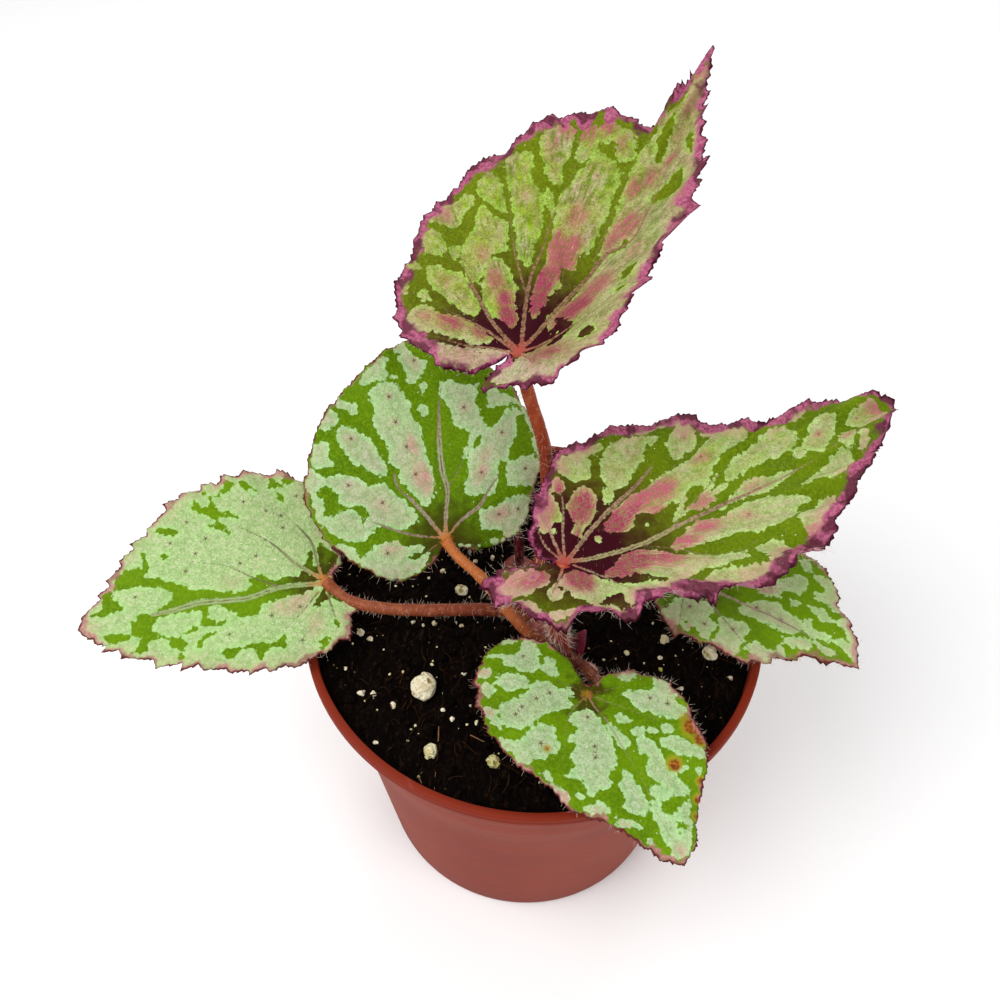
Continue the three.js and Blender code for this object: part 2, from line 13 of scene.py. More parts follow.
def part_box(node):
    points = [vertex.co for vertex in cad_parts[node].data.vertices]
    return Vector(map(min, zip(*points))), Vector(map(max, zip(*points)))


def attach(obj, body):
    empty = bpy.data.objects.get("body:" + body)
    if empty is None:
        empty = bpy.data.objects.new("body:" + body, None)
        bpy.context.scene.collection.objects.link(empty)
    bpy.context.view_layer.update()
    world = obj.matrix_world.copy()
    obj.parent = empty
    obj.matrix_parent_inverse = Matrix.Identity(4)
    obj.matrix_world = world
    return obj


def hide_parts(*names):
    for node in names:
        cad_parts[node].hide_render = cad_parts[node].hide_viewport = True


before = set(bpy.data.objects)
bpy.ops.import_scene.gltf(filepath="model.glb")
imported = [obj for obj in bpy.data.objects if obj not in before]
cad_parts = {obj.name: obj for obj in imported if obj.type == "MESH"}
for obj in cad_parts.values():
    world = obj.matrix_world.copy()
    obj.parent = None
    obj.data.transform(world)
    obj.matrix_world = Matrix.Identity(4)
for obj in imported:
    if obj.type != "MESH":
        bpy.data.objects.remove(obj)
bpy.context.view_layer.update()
MM = 0.001
TURN = 2 * math.pi
rng = np.random.RandomState(7)

# Camera at the photograph's angle: a 53 degree view, 48 degrees down, 0.23 m from the rim
CAMERA_AT = (-0.0079, -0.1334, 0.2632)
CAMERA_DOWN = 47.9
CAMERA_ROLL = 0.96


def make_camera():
    data = bpy.data.cameras.new("camera")
    data.lens = data.sensor_width = 36
    data.clip_start, data.clip_end = 0.005, 20
    camera = add_object("camera", data)
    tilt = Matrix.Rotation(math.radians(90 - CAMERA_DOWN), 4, "X")
    roll = Matrix.Rotation(math.radians(CAMERA_ROLL), 4, "Z")
    camera.matrix_world = Matrix.Translation(CAMERA_AT) @ tilt @ roll
    bpy.context.scene.camera = camera


def add_object(name, data):
    made = bpy.data.objects.new(name, data)
    bpy.context.scene.collection.objects.link(made)
    return made


# Small numeric tools --------------------------------------------------------------------


def unit(v):
    v = np.asarray(v, float)
    return v / np.maximum(np.linalg.norm(v, axis=-1, keepdims=True), 1e-12)


def smooth_step(value, low, high):
    t = np.clip((value - low) / (high - low), 0, 1)
    return t * t * (3 - 2 * t)


def corner_value(cell, seed):
    """A fixed pseudo-random value from 0 to 1 for each whole-numbered cell corner."""
    h = cell[..., 0] * 374761393 + cell[..., 1] * 668265263 + cell[..., 2] * 1442695041
    h = (h + seed * 974634777) & 0xFFFFFFFF
    h = ((h ^ (h >> 13)) * 1274126177) & 0xFFFFFFFF
    h = h ^ (h >> 16)
    return (h & 0xFFFF) / 65535.0


def value_noise(points, size, seed=0):
    """Smooth noise from -1 to 1 whose lumps are about size across."""
    p = np.asarray(points, float) / size
    cell = np.floor(p).astype(np.int64)
    f = p - cell
    f = f * f * (3 - 2 * f)
    total = np.zeros(len(p))
    for corner in np.ndindex(2, 2, 2):
        weight = np.where(corner, f, 1 - f)
        total += weight[:, 0] * weight[:, 1] * weight[:, 2] * corner_value(cell + corner, seed)
    return total * 2 - 1


def as_3d(x, y, z=0.0):
    x, y = np.broadcast_arrays(np.asarray(x, float), np.asarray(y, float))
    return np.stack([x, y, np.broadcast_to(z, x.shape)], -1)


def round_about(count):
    """The cosine and sine of count even turns."""
    turn = np.linspace(0, TURN, count, endpoint=False)
    return np.cos(turn), np.sin(turn)


def each_column(at, knots, columns):
    """Linear interpolation of every column between knots."""
    return np.stack([np.interp(at, knots, column) for column in np.transpose(columns)], -1)


def run_length(points):
    steps = np.linalg.norm(np.diff(points, axis=0), axis=1)
    return np.concatenate([[0], np.cumsum(steps)])


def segment_distance(points, start, end):
    """Distance of every point to every segment, and where along it the nearest place is."""
    run = end - start
    length2 = np.maximum((run**2).sum(-1), 1e-12)
    offset = points[:, None, :] - start[None]
    along = np.clip((offset * run[None]).sum(-1) / length2[None], 0, 1)
    gap = offset - along[..., None] * run[None]
    return np.sqrt((gap**2).sum(-1)), along


def polygon_field(points, outline):
    """Signed distance to a closed outline, positive inside."""
    start = np.asarray(outline, float)
    end = np.roll(start, -1, axis=0)
    result = np.empty(len(points))
    for first in range(0, len(points), 4000):
        part = points[first : first + 4000]
        distance = segment_distance(part, start, end)[0].min(1)
        x, y = part[:, 0:1], part[:, 1:2]
        crosses = (start[None, :, 1] > y) != (end[None, :, 1] > y)
        rise = end[None, :, 1] - start[None, :, 1]
        rise = np.where(np.abs(rise) < 1e-12, 1e-12, rise)
        at = start[None, :, 0] + (y - start[None, :, 1]) * (end - start)[None, :, 0] / rise
        inside = (crosses & (x < at)).sum(1) % 2 == 1
        result[first : first + 4000] = np.where(inside, distance, -distance)
    return result


def rounded(outline, pieces=4):
    """A closed outline with its corners smoothed by a Catmull-Rom curve."""
    p1 = np.asarray(outline, float)
    p0, p2, p3 = np.roll(p1, 1, 0), np.roll(p1, -1, 0), np.roll(p1, -2, 0)
    curve = []
    for t in np.arange(pieces) / pieces:
        linear, square = (p2 - p0) * t, (2 * p0 - 5 * p1 + 4 * p2 - p3) * t * t
        curve.append(0.5 * (2 * p1 + linear + square + (3 * p1 - p0 - 3 * p2 + p3) * t**3))
    return np.stack(curve, 1).reshape(-1, p1.shape[1])


# Meshes ---------------------------------------------------------------------------------


def add_mesh(name, vertices, faces, fields=None, smooth=True):
    """A mesh object from millimetre vertices, with float fields for its material."""
    mesh = bpy.data.meshes.new(name)
    vertices = np.asarray(vertices, float) * MM
    mesh.from_pydata(vertices.tolist(), [], [list(map(int, f)) for f in faces])
    for key, values in (fields or {}).items():
        values = np.asarray(values, np.float32)
        kind, slot = ("FLOAT", "value") if values.ndim == 1 else ("FLOAT_VECTOR", "vector")
        mesh.attributes.new(key, kind, "POINT").data.foreach_set(slot, values.ravel())
    mesh.validate()
    if smooth:
        mesh.shade_smooth()
    return add_object(name, mesh)


def dress(piece, materials, replaces=None):
    """Gives a piece its materials and its body, and hides the node whose place it takes."""
    for material in materials:
        piece.data.materials.append(material)
    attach(piece, "root")
    if replaces:
        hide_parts(replaces)


def joined(parts):
    """Vertices and faces of several meshes as one, with the part number of each vertex."""
    vertices, faces, number, first = [], [], [], 0
    for index, (v, f) in enumerate(parts):
        vertices.append(v)
        faces.extend([[i + first for i in face] for face in f])
        number.append(np.full(len(v), index))
        first += len(v)
    return np.concatenate(vertices), faces, np.concatenate(number)


def bridges(lower, upper):
    """Quads between two rings of vertex numbers."""
    return np.stack([lower, np.roll(lower, -1), np.roll(upper, -1), upper], -1).tolist()


def ring_faces(rings, sides):
    """Faces of a closed rod of rings that follow one another."""
    number = np.arange(rings * sides).reshape(rings, sides)
    faces = [quad for pair in zip(number, number[1:]) for quad in bridges(*pair)]
    return [*faces, number[0][::-1].tolist(), number[-1].tolist()]


def triangulated(points, ring):
    """Points and upward triangles inside a closed ring of the first points."""
    made = delaunay_2d_cdt([Vector(p) for p in points.tolist()], [], [list(range(ring))], 1, 1e-6)
    points = np.array([tuple(v) for v in made[0]])
    faces = np.array([f for f in made[2] if len(f) == 3])
    a, b, c = (points[faces[:, k]] for k in range(3))
    over = (b - a)[:, 0] * (c - a)[:, 1] - (b - a)[:, 1] * (c - a)[:, 0] < 0
    faces[over] = faces[over][:, ::-1]
    return points, faces


def lattice(low, high, spacing):
    """Places of an even lattice of triangles in a rectangle."""
    levels = np.arange(low[1], high[1], spacing * 3**0.5 / 2)
    x, y = np.meshgrid(np.arange(low[0], high[0], spacing), levels)
    x = x + (np.arange(len(levels)) % 2 * spacing / 2)[:, None]
    return np.column_stack([x.ravel(), y.ravel()])


def curve_3d(points, count):
    """Centripetal Catmull-Rom through points, as count + 1 places evenly spaced along it."""
    p = np.asarray(points, float)
    p = np.vstack([2 * p[0] - p[1], p, 2 * p[-1] - p[-2]])
    dense = []
    for i in range(1, len(p) - 2):
        a, b, c, d = p[i - 1 : i + 3]
        t0, t1, t2 = (max(np.linalg.norm(w - v), 1e-9) ** 0.5 for v, w in ((a, b), (b, c), (c, d)))
        m1 = ((b - a) / t0 - (c - a) / (t0 + t1) + (c - b) / t1) * t1
        m2 = ((c - b) / t1 - (d - b) / (t1 + t2) + (d - c) / t2) * t1
        t = np.linspace(0, 1, 40, endpoint=False)[:, None]
        from_b = (2 * t**3 - 3 * t**2 + 1) * b + (t**3 - 2 * t**2 + t) * m1
        dense.append(from_b + (-2 * t**3 + 3 * t**2) * c + (t**3 - t**2) * m2)
    dense = np.vstack([*dense, p[-2]])
    length = run_length(dense)
    return each_column(np.linspace(0, length[-1], count + 1), length, dense)


def path_frames(path):
    """Two cross directions at each place of a path, turned as little as possible."""
    tangent = unit(np.gradient(path, axis=0))
    side = np.cross(tangent[0], [0.3, 0.9, 0.1])
    sides = []
    for t in tangent:
        side = side - t * (side @ t)
        side = side / np.linalg.norm(side)
        sides.append(side)
    return np.array(sides), np.cross(tangent, sides)


def tube(path, radius, sides, squash=1.0, lump=0.0, lump_size=2.0, seed=0):
    """A closed round rod along a path. radius holds one value for each place."""
    u, v = path_frames(path)
    cosine, sine = round_about(sides)
    ring = cosine[None, :, None] * u[:, None] + squash * sine[None, :, None] * v[:, None]
    vertices = (path[:, None] + ring * radius[:, None, None]).reshape(-1, 3)
    if lump:
        swell = value_noise(vertices, lump_size, seed) * lump
        vertices = vertices + (ring.reshape(-1, 3)) * swell[:, None]
    return vertices, ring_faces(len(path), sides)


def turned(profile, sides):
    """A closed solid of revolution about +Z from a profile that starts and ends on the axis."""
    cosine, sine = round_about(sides)
    inner = profile[1:-1]
    rings = [np.stack([r * cosine, r * sine, np.full(sides, z)], -1) for r, z in inner]
    vertices = np.concatenate([*rings, [[0, 0, profile[0][1]], [0, 0, profile[-1][1]]]])
    first, last = len(inner) * sides, len(inner) * sides + 1
    faces = []
    for j in range(sides):
        k = (j + 1) % sides
        faces.append([first, k, j])
        faces.append([last, (len(inner) - 1) * sides + j, (len(inner) - 1) * sides + k])
        for i in range(len(inner) - 1):
            faces.append([i * sides + j, i * sides + k, (i + 1) * sides + k, (i + 1) * sides + j])
    return vertices, faces


def ball(detail):
    """Vertices and faces of a round ball of triangles."""
    g = (1 + 5**0.5) / 2
    v = [(-1, g, 0), (1, g, 0), (-1, -g, 0), (1, -g, 0), (0, -1, g), (0, 1, g)]
    v += [(0, -1, -g), (0, 1, -g), (g, 0, -1), (g, 0, 1), (-g, 0, -1), (-g, 0, 1)]
    f = [(0, 11, 5), (0, 5, 1), (0, 1, 7), (0, 7, 10), (0, 10, 11), (1, 5, 9), (5, 11, 4)]
    f += [(11, 10, 2), (10, 7, 6), (7, 1, 8), (3, 9, 4), (3, 4, 2), (3, 2, 6), (3, 6, 8)]
    f += [(3, 8, 9), (4, 9, 5), (2, 4, 11), (6, 2, 10), (8, 6, 7), (9, 8, 1)]
    v = [unit(p) for p in v]
    for _ in range(detail):
        middle, finer = {}, []

        def halfway(a, b):
            key = (min(a, b), max(a, b))
            if key not in middle:
                middle[key] = len(v)
                v.append(unit(v[a] + v[b]))
            return middle[key]

        for a, b, c in f:
            ab, bc, ca = halfway(a, b), halfway(b, c), halfway(c, a)
            finer += [(a, ab, ca), (b, bc, ab), (c, ca, bc), (ab, bc, ca)]
        f = finer
    return np.array(v), f


BALLS = [ball(k) for k in range(5)]

# How far a hair's tip bends away, as a share of its length
HAIR_DROOP = 0.25


def hairs(roots, directions, lengths, thickness):
    """Fine tapered hairs as three-sided rods that bend a little on the way to the tip."""
    directions = unit(directions)
    bend = unit(rng.normal(size=roots.shape)) * HAIR_DROOP
    side = unit(np.cross(directions, directions[:, [1, 2, 0]] + 0.1))
    other = np.cross(directions, side)
    rings = []
    for along, girth in ((-0.06, 1.0), (0.35, 0.8), (0.7, 0.5)):
        place = roots + (directions * along + bend * max(along, 0) ** 2) * lengths[:, None]
        for turn in (0, TURN / 3, 2 * TURN / 3):
            spoke = side * math.cos(turn) + other * math.sin(turn)
            rings.append(place + spoke * thickness * girth)
    rings.append(roots + (directions + bend) * lengths[:, None])
    vertices = np.stack(rings, 1).reshape(-1, 3)
    shape = bridges([0, 1, 2], [3, 4, 5]) + bridges([3, 4, 5], [6, 7, 8])
    shape += [[6, 7, 9], [7, 8, 9], [8, 6, 9], [2, 1, 0]]
    faces = [[10 * i + k for k in face] for i in range(len(roots)) for face in shape]
    return vertices, faces


# Materials ------------------------------------------------------------------------------


def tone(red, green, blue):
    """A linear colour from its red, green and blue on screen, 0 to 255."""
    screen = np.array([red, green, blue]) / 255
    linear = np.where(screen <= 0.04045, screen / 12.92, ((screen + 0.055) / 1.055) ** 2.4)
    return (*map(float, linear), 1.0)


class Value:
    """A number that varies over a surface. Its arithmetic adds math nodes."""

    def __init__(self, paint, socket):
        self.paint, self.socket = paint, socket

    def __add__(self, other):
        return self.paint.math("ADD", self, other)

    def __sub__(self, other):
        return self.paint.math("SUBTRACT", self, other)

    def __mul__(self, other):
        return self.paint.math("MULTIPLY", self, other)

    def __abs__(self):
        return self.paint.math("ABSOLUTE", self)

    def step(self, low, high, start=0.0, end=1.0):
        """start up to low, end from high on, and smooth in between."""
        node = self.paint.add("MapRange", *zip(range(5), (self, low, high, start, end)))
        node.interpolation_type = "SMOOTHSTEP"
        return Value(self.paint, node.outputs[0])


class Paint:
    """Builds one procedural material, one node at a time."""

    def __init__(self, name):
        self.material = bpy.data.materials.new(name)
        self.material.use_nodes = True
        self.tree = self.material.node_tree
        self.shader = self.tree.nodes["Principled BSDF"]
        self.place = self.add("TexCoord").outputs["Object"]

    def add(self, kind, *inputs):
        node = self.tree.nodes.new("ShaderNode" + kind)
        for key, value in inputs:
            self.give(node.inputs[key], value)
        return node

    def give(self, socket, value):
        if isinstance(value, Value):
            value = value.socket
        if isinstance(value, bpy.types.NodeSocket):
            self.tree.links.new(value, socket)
        elif value is not None:
            socket.default_value = value

    def attribute(self, name, output="Fac"):
        node = self.add("Attribute")
        node.attribute_name = name
        return Value(self, node.outputs[output])

    def field(self, name):
        """The three parts of a vector field that the mesh carries."""
        return self.parts(self.attribute(name, "Vector"))

    def parts(self, vector):
        return [Value(self, part) for part in self.add("SeparateXYZ", (0, vector)).outputs]

    def math(self, kind, *values):
        node = self.add("Math")
        node.operation = kind
        for socket, value in zip(node.inputs, values):
            self.give(socket, value)
        return Value(self, node.outputs[0])

    def layers(self, colour, *layers):
        """A colour with others laid over it, each given as how much of it shows and itself."""
        for share, over in layers:
            node = self.add("Mix")
            node.data_type = "RGBA"
            self.give(node.inputs[0], share)
            for place, given in ((6, colour), (7, over)):
                given = tone(*given) if isinstance(given, tuple) else given
                self.give(node.inputs[place], given)
            colour = node.outputs[2]
        return colour

    def noise(self, scale, detail=2.0, rough=0.5, vector=None, warp=0.0):
        inputs = {"Vector": vector or self.place, "Scale": scale, "Detail": detail}
        inputs |= {"Roughness": rough, "Distortion": warp}
        return Value(self, self.add("TexNoise", *inputs.items()).outputs["Fac"])

    def cells(self, scale, feature="F1"):
        node = self.add("TexVoronoi", ("Vector", self.place), ("Scale", scale))
        node.feature = feature
        return Value(self, node.outputs["Distance"])

    def stretched(self, *scale):
        return self.add("Mapping", ("Vector", self.place), ("Scale", scale)).outputs[0]

    def bump(self, height, distance, strength):
        inputs = ("Height", height), ("Distance", distance), ("Strength", strength)
        self.give(self.shader.inputs["Normal"], self.add("Bump", *inputs).outputs[0])

    def finish(self, colour, rough, specular):
        self.give(self.shader.inputs["Base Color"], colour)
        self.give(self.shader.inputs["Roughness"], rough)
        self.give(self.shader.inputs["Specular IOR Level"], specular)
        return self.material


def leaf_top(name, look):
    """Upper face of a blade: silver patches on green, veins, blush, toothed band of colour."""
    p = Paint(name)
    silver, vein, edge = p.field("mask")
    blush, brown, width = p.field("tint")
    star_x, star_y, star_number = p.field("star")
    angle, radius, _ = p.field("polar")
    fine, coarse, wide = p.noise(1500, 3, 0.65), p.noise(420), p.noise(95)
    outward = p.add("CombineXYZ", (0, angle * 46), (1, radius * 0.16)).outputs[0]
    streak = p.noise(1, 3, 0.65, outward)
    speckle, grit, cell = p.noise(3000, 2, 0.7), p.noise(1900, 2, 0.6), p.cells(880)

    # Patch edges are scalloped by the cells of the leaf
    basal = abs(angle).step(1.5, 2.1)
    level = (cell * -1.1 + coarse * 2.4 + fine * 1.6 - 1.5) * look.crumble + silver
    level = level + basal * look.spread
    patch = level.step(-0.08, 0.1)

    # Green between the patches, with a fine net and a dark heart round the stalk joint
    net = p.cells(1300, "DISTANCE_TO_EDGE").step(0, 0.12, 1, 0)
    reach = radius + coarse * 12 - 6 + angle.step(-2.1, -1.3, look.lobe, 0)
    near, far = look.heart
    green = p.layers(
        look.green,
        (wide.step(0.35, 0.65), look.green_2),
        (fine.step(0.42, 0.7, 0, 0.5), look.green_light),
        (net * 0.25, look.green_light),
        (speckle.step(0.5, 0.75, 0, 0.3), look.olive),
        (reach.step(near, far * 1.5, 0.9, 0), look.olive),
        (reach.step(near, far, 1, 0), look.dark),
    )

    # Silver patches: a clear green rim, greyer and mottled inside, pink where the leaf blushes
    mottle = streak * look.brushed + grit * (1 - look.brushed)
    yellow = (wide + coarse * 0.3 + streak * 0.3).step(0.66, 0.88)
    flush = (p.noise(60) * 0.8 + streak * 0.9 + grit * 0.4).step(0.92, 1.2) * look.flush
    pink = blush * (streak * 1.9 + grit * 1.2 - 0.6)
    blotch = p.noise(300, 3, 0.6)
    rimmed = p.layers(
        look.silver,
        (mottle.step(0.45, 0.56), look.silver_2),
        (yellow * angle.step(-0.3, 0.2, 0.3, 1) * look.fresh, look.silver_green),
        (angle.step(-0.2, 0.05, look.pale_most, 0), look.pale),
        (level.step(0.15, 1.3, look.rim_most, 0), look.rim),
        (blotch.step(0.5, 0.6, 0, look.blotch), look.shade),
        (blotch.step(0.4, 0.48, look.blotch, 0), look.pale),
        (flush * level.step(0.2, 1.2), look.blush_pale),
        (basal * look.mauve_most * grit.step(0.38, 0.56, 0.55, 1), look.mauve),
        (pink.step(0.12, 0.9, 0, look.blush_most), look.blush),
        ((pink * reach.step(8, 26, 1, 0)).step(0.1, 0.7, 0, look.blush_most), look.blush_deep),
        (speckle.step(0.48, 0.66, 0, look.grain), look.shade),
        (grit.step(0.32, 0.46, look.grain, 0), look.shade),
        (p.cells(2000).step(0.12, 0.32, look.dot_most, 0), look.dot),
        (cell.step(0.42, 0.75, 0, 0.3), look.shade),
    )

    # Hair bases: pale points in the green, star-shaped dark marks in the patches
    star_reach = p.math("SQRT", star_x * star_x + star_y * star_y)
    star_turn = p.math("ARCTAN2", star_y, star_x) + coarse * 1.6
    arms = abs(p.math("SINE", star_turn * 2.5 + star_number))
    halo = (star_reach + fine * 1.4).step(0.7, 2.3, 0.6, 0)
    spread = star_reach + arms * (star_reach * 0.9 + 0.3)

    # Veins: a grey-pink strip with a thin dark line in it, pale rims where it is wide
    on_vein = (vein + (fine - 0.5) * (width * 1.2 + 0.15)).step(-0.04, 0.12, 1, 0)
    broad, broadest = width.step(0.2, 0.6), width.step(0.35, 0.7)
    strip = p.layers(
        look.vein,
        (fine.step(0.35, 0.65), look.vein_2),
        (vein.step(-0.5, -0.12) * broadest * 0.75, look.rim),
        (abs(vein + 0.05).step(0.03, 0.2, 0.7, 0) * broadest, look.line_dark),
        ((vein + width).step(0.05, 0.26, 0.8, 0) * broad, look.line_dark),
        (width.step(0.16, 0.36, look.thin_most, 0), look.line_dark),
        (radius.step(1.5, 5, 0.6, 0), look.joint),
    )

    # Brown places, then the uneven coloured band of the margin with its dark outline
    rust = (brown * (coarse * 1.2 + 0.4)).step(0.3, 0.75)
    rust_tone = p.layers(look.rust, (fine.step(0.4, 0.6), look.rust_2))
    sides = angle.step(-0.3, 0, look.lower, 0) + angle.step(0, 0.3, 0, look.upper)
    wider = blush.step(0.95, 1.2, 0, 5) + sides * radius.step(8, 20, -0.2, 1)
    uneven = p.noise(130) * look.uneven - 0.5 * look.uneven - wider
    inward = edge + uneven + coarse * 3 + fine * 1.6 - 2.3
    glow = inward.step(look.band, look.band + 2.4, look.glow, 0) * patch
    band_tone = p.layers(
        look.band_1,
        (fine.step(0.35, 0.65), look.band_2),
        (p.noise(230).step(0.48, 0.58, 0, look.segments), look.band_dark),
    )
    outline = (edge + coarse * 1.4 - 0.7).step(0.1, look.line, 1, 0)
    colour = p.layers(
        green,
        (patch, rimmed),
        (p.cells(520).step(0.05, 0.09, 0.8, 0) * coarse.step(0.5, 0.56), look.dot),
        (halo * look.halo * patch, look.blush_pale),
        (spread.step(0.25, 1.05, 1, 0) * look.star_most, look.star),
        (vein.step(0, 0.5, 0.6, 0) * broad * look.vein_shade, look.dark),
        (on_vein * width.step(0.03, 0.22, 0.5, 0.95), strip),
        ((radius + fine * 2.4 - 1.2).step(0.5, look.joint_reach, 1, 0), look.joint),
        (brown.step(0.06, 0.4, 0, 0.6), look.aged),
        (rust, rust_tone),
        (glow, look.blush_pale),
        (inward.step(look.band * 0.35, look.band, 1, 0) * look.band_most, band_tone),
        (outline * 0.9, look.band_dark),
    )
    p.bump(fine * 0.6 + p.cells(2300) * 0.9, 0.0002, 0.5)
    return p.finish(colour, speckle.step(0.3, 0.7, 0.5, 0.64), 0.06)


def leaf_under(name, look):
    """Lower face of a blade: paler, with reddish raised veins and a dull sheen."""
    p = Paint(name)
    _, vein, edge = p.field("mask")
    _, _, width = p.field("tint")
    _, radius, _ = p.field("polar")
    fine = p.noise(1500, 3, 0.6)
    net = p.cells(520, "DISTANCE_TO_EDGE").step(0, 0.1, 1, 0)
    colour = p.layers(
        look.under,
        (fine.step(0.3, 0.7), look.under_2),
        (net * 0.35, look.under_vein),
        (radius.step(4, 16, 0.7, 0), look.under_vein),
        (vein.step(0, 0.35, 0.9, 0) * width.step(0.05, 0.4), look.under_vein),
        (edge.step(0.3, look.band, 0.8, 0), look.band_1),
    )
    p.bump(fine + net * 0.6, 0.0002, 0.6)
    return p.finish(colour, 0.55, 0.15)


# How each leaf looks: colours on screen, 0 to 255, how much of each shows, lengths in mm
BLUSHED = dict(
    green=(80, 104, 2), green_2=(94, 118, 2), green_light=(124, 150, 16), olive=(74, 64, 4),
    dark=(52, 4, 16), heart=(8, 22), silver=(156, 182, 98), silver_2=(184, 188, 140),
    silver_green=(146, 176, 48), fresh=0.65, rim=(178, 210, 126), rim_most=0.8,
    shade=(112, 122, 50), brushed=0.5, pale=(188, 200, 150), pale_most=0.35, dot_most=0.2,
    blush=(184, 80, 110), blush_pale=(190, 140, 130), blush_deep=(148, 42, 82), blush_most=0.95,
    flush=0.25, dot=(222, 222, 184), halo=0.5, star=(110, 36, 40), star_most=0.6,
    vein=(172, 144, 116), vein_2=(122, 92, 74), vein_shade=0.6, line_dark=(96, 48, 38), thin_most=0,
    joint=(164, 76, 66), joint_reach=1.6, aged=(158, 128, 46), rust=(150, 86, 30),
    rust_2=(120, 50, 24), band=1.7, uneven=6, band_most=0.95, band_1=(182, 100, 132),
    band_2=(140, 54, 90), band_dark=(70, 6, 36), segments=0.8, line=0.5, lower=1.6, upper=0.8,
    glow=0.5, grain=0.5, lobe=10, crumble=0.72, blotch=0.3, spread=0, mauve=(212, 140, 164),
    mauve_most=0.35, under=(150, 104, 104), under_2=(128, 128, 92), under_vein=(140, 52, 54),
)
SILVERED = dict(
    green=(82, 116, 2), green_2=(94, 130, 2), green_light=(122, 160, 16), olive=(68, 84, 4),
    dark=(62, 60, 6), heart=(2, 9), silver=(160, 188, 134), silver_2=(188, 196, 166),
    silver_green=(156, 194, 116), fresh=0.35, rim=(172, 212, 146), rim_most=0.85,
    shade=(110, 138, 80), brushed=0.3, pale=(188, 200, 150), pale_most=0, dot_most=0.4,
    blush=(196, 146, 138), blush_pale=(182, 150, 134), blush_deep=(196, 146, 138), blush_most=0.8,
    flush=0.3, dot=(220, 230, 202), halo=0.65, star=(72, 34, 30), star_most=0.95,
    vein=(186, 168, 148), vein_2=(150, 130, 112), vein_shade=0.3, line_dark=(88, 66, 52),
    thin_most=0.5, joint=(186, 116, 58), joint_reach=1.8, aged=(164, 150, 40), rust=(168, 104, 34),
    rust_2=(108, 54, 22), band=0.9, uneven=3.6, band_most=0.75, band_1=(190, 126, 132),
    band_2=(158, 94, 96), band_dark=(96, 32, 36), segments=0.5, line=0.38, lower=0, upper=0,
    glow=0.2, grain=0.36, lobe=0, crumble=0.75, blotch=0.08, spread=0, mauve=(200, 176, 164),
    mauve_most=0, under=(150, 150, 112), under_2=(164, 124, 110), under_vein=(160, 74, 62),
)
LOOKS = {
    "top": dict(
        BLUSHED, silver=(104, 136, 20), silver_2=(184, 184, 138), rim=(156, 192, 82),
        silver_green=(142, 178, 24), fresh=0.85, flush=0.3, blotch=0.4, green=(82, 96, 2),
        green_2=(94, 106, 4), brushed=0.85, band=1.9, lower=0.4, upper=0.8, glow=0.22,
        shade=(90, 90, 24), pale=(176, 182, 126), pale_most=0.5, dot_most=0.12, vein=(150, 118, 88),
        vein_2=(100, 66, 48), blush=(172, 84, 98), spread=0.6, mauve=(204, 182, 172),
        mauve_most=0.6,
    ),
    "right": dict(
        BLUSHED, heart=(9, 25), silver_2=(182, 190, 138), vein=(162, 136, 108),
        vein_2=(112, 84, 66),
    ),
    "round": dict(
        SILVERED, band=0.6, band_most=0.35, band_dark=(96, 40, 26), line=0.3, green=(74, 108, 2),
        green_2=(86, 120, 2), heart=(1, 10), vein=(168, 152, 130), vein_2=(130, 112, 92),
        silver=(164, 194, 136),
    ),
    "left": dict(
        SILVERED, rim=(164, 204, 126), silver=(152, 184, 116), silver_2=(182, 198, 148), flush=0.12,
        grain=0.28, blush_most=0.4, blush_pale=(188, 162, 134), shade=(112, 144, 74), halo=0.15,
        star=(66, 66, 40), vein=(152, 162, 110), vein_2=(122, 128, 84), line_dark=(92, 82, 56),
        thin_most=0.9,
    ),
    "front": dict(
        SILVERED, band=0.6, heart=(1, 5), joint_reach=1.4, joint=(140, 104, 34), halo=0.2,
        flush=0.12, silver_2=(182, 198, 160),
    ),
    # Painted light: the back leaf's greens, silvers, rims and shade tone are lighter than the other
    # silvered leaves', to lift the shadow that the right leaf casts on it
    "back": dict(
        SILVERED, band=1.4, silver=(178, 204, 140), silver_2=(198, 208, 164), rim=(184, 222, 146),
        shade=(128, 156, 86), green=(94, 128, 4), green_2=(104, 142, 6),
    ),
}


def stalk_skin(name, top, foot):
    """Hairy stalk: fine lengthwise streaks, redder towards the crown."""
    p = Paint(name)
    fine = p.noise(1600, 3, 0.6)
    streak = p.noise(700, 2, 0.5, p.stretched(1, 1, 0.25))
    colour = p.layers(
        top,
        (p.attribute("along").step(0.1, 0.85), foot),
        (streak.step(0.45, 0.75, 0, 0.45), (184, 108, 68)),
        (fine.step(0.55, 0.8, 0, 0.4), (96, 30, 18)),
        (p.cells(1500).step(0.08, 0.16, 0.5, 0), (238, 214, 190)),
    )
    p.bump(fine + streak, 0.0003, 0.6)
    return p.finish(colour, 0.42, 0.2)


def hair_skin():
    p = Paint("hair")
    return p.finish(p.layers((226, 216, 198), (p.noise(300), (208, 176, 156))), 0.4, 0.4)


def pot_skin():
    """Thin moulded plastic: soft banding from the mould, an orange rim, fine scuffs."""
    p = Paint("pot_plastic")
    bands = p.noise(1, 3, 0.6, p.stretched(6, 6, 260))
    scuff = p.noise(90, 4, 0.65, p.stretched(1, 1, 5), 0.6)
    colour = p.layers(
        (123, 46, 30),
        (bands.step(0.35, 0.65), (132, 53, 37)),
        (p.noise(30, 3, 0.6).step(0.4, 0.66, 0, 0.3), (150, 66, 46)),
        (p.parts(p.place)[2].step(0.0765, 0.0785), (122, 36, 14)),
        (scuff.step(0.56, 0.7, 0, 0.16), (176, 104, 88)),
    )
    p.bump(bands * 0.7 + p.noise(2400, 2, 0.7) * 0.08, 0.0003, 0.5)
    return p.finish(colour, bands.step(0.2, 0.8, 0.58, 0.68) + scuff.step(0.5, 0.7, 0, 0.1), 0.16)


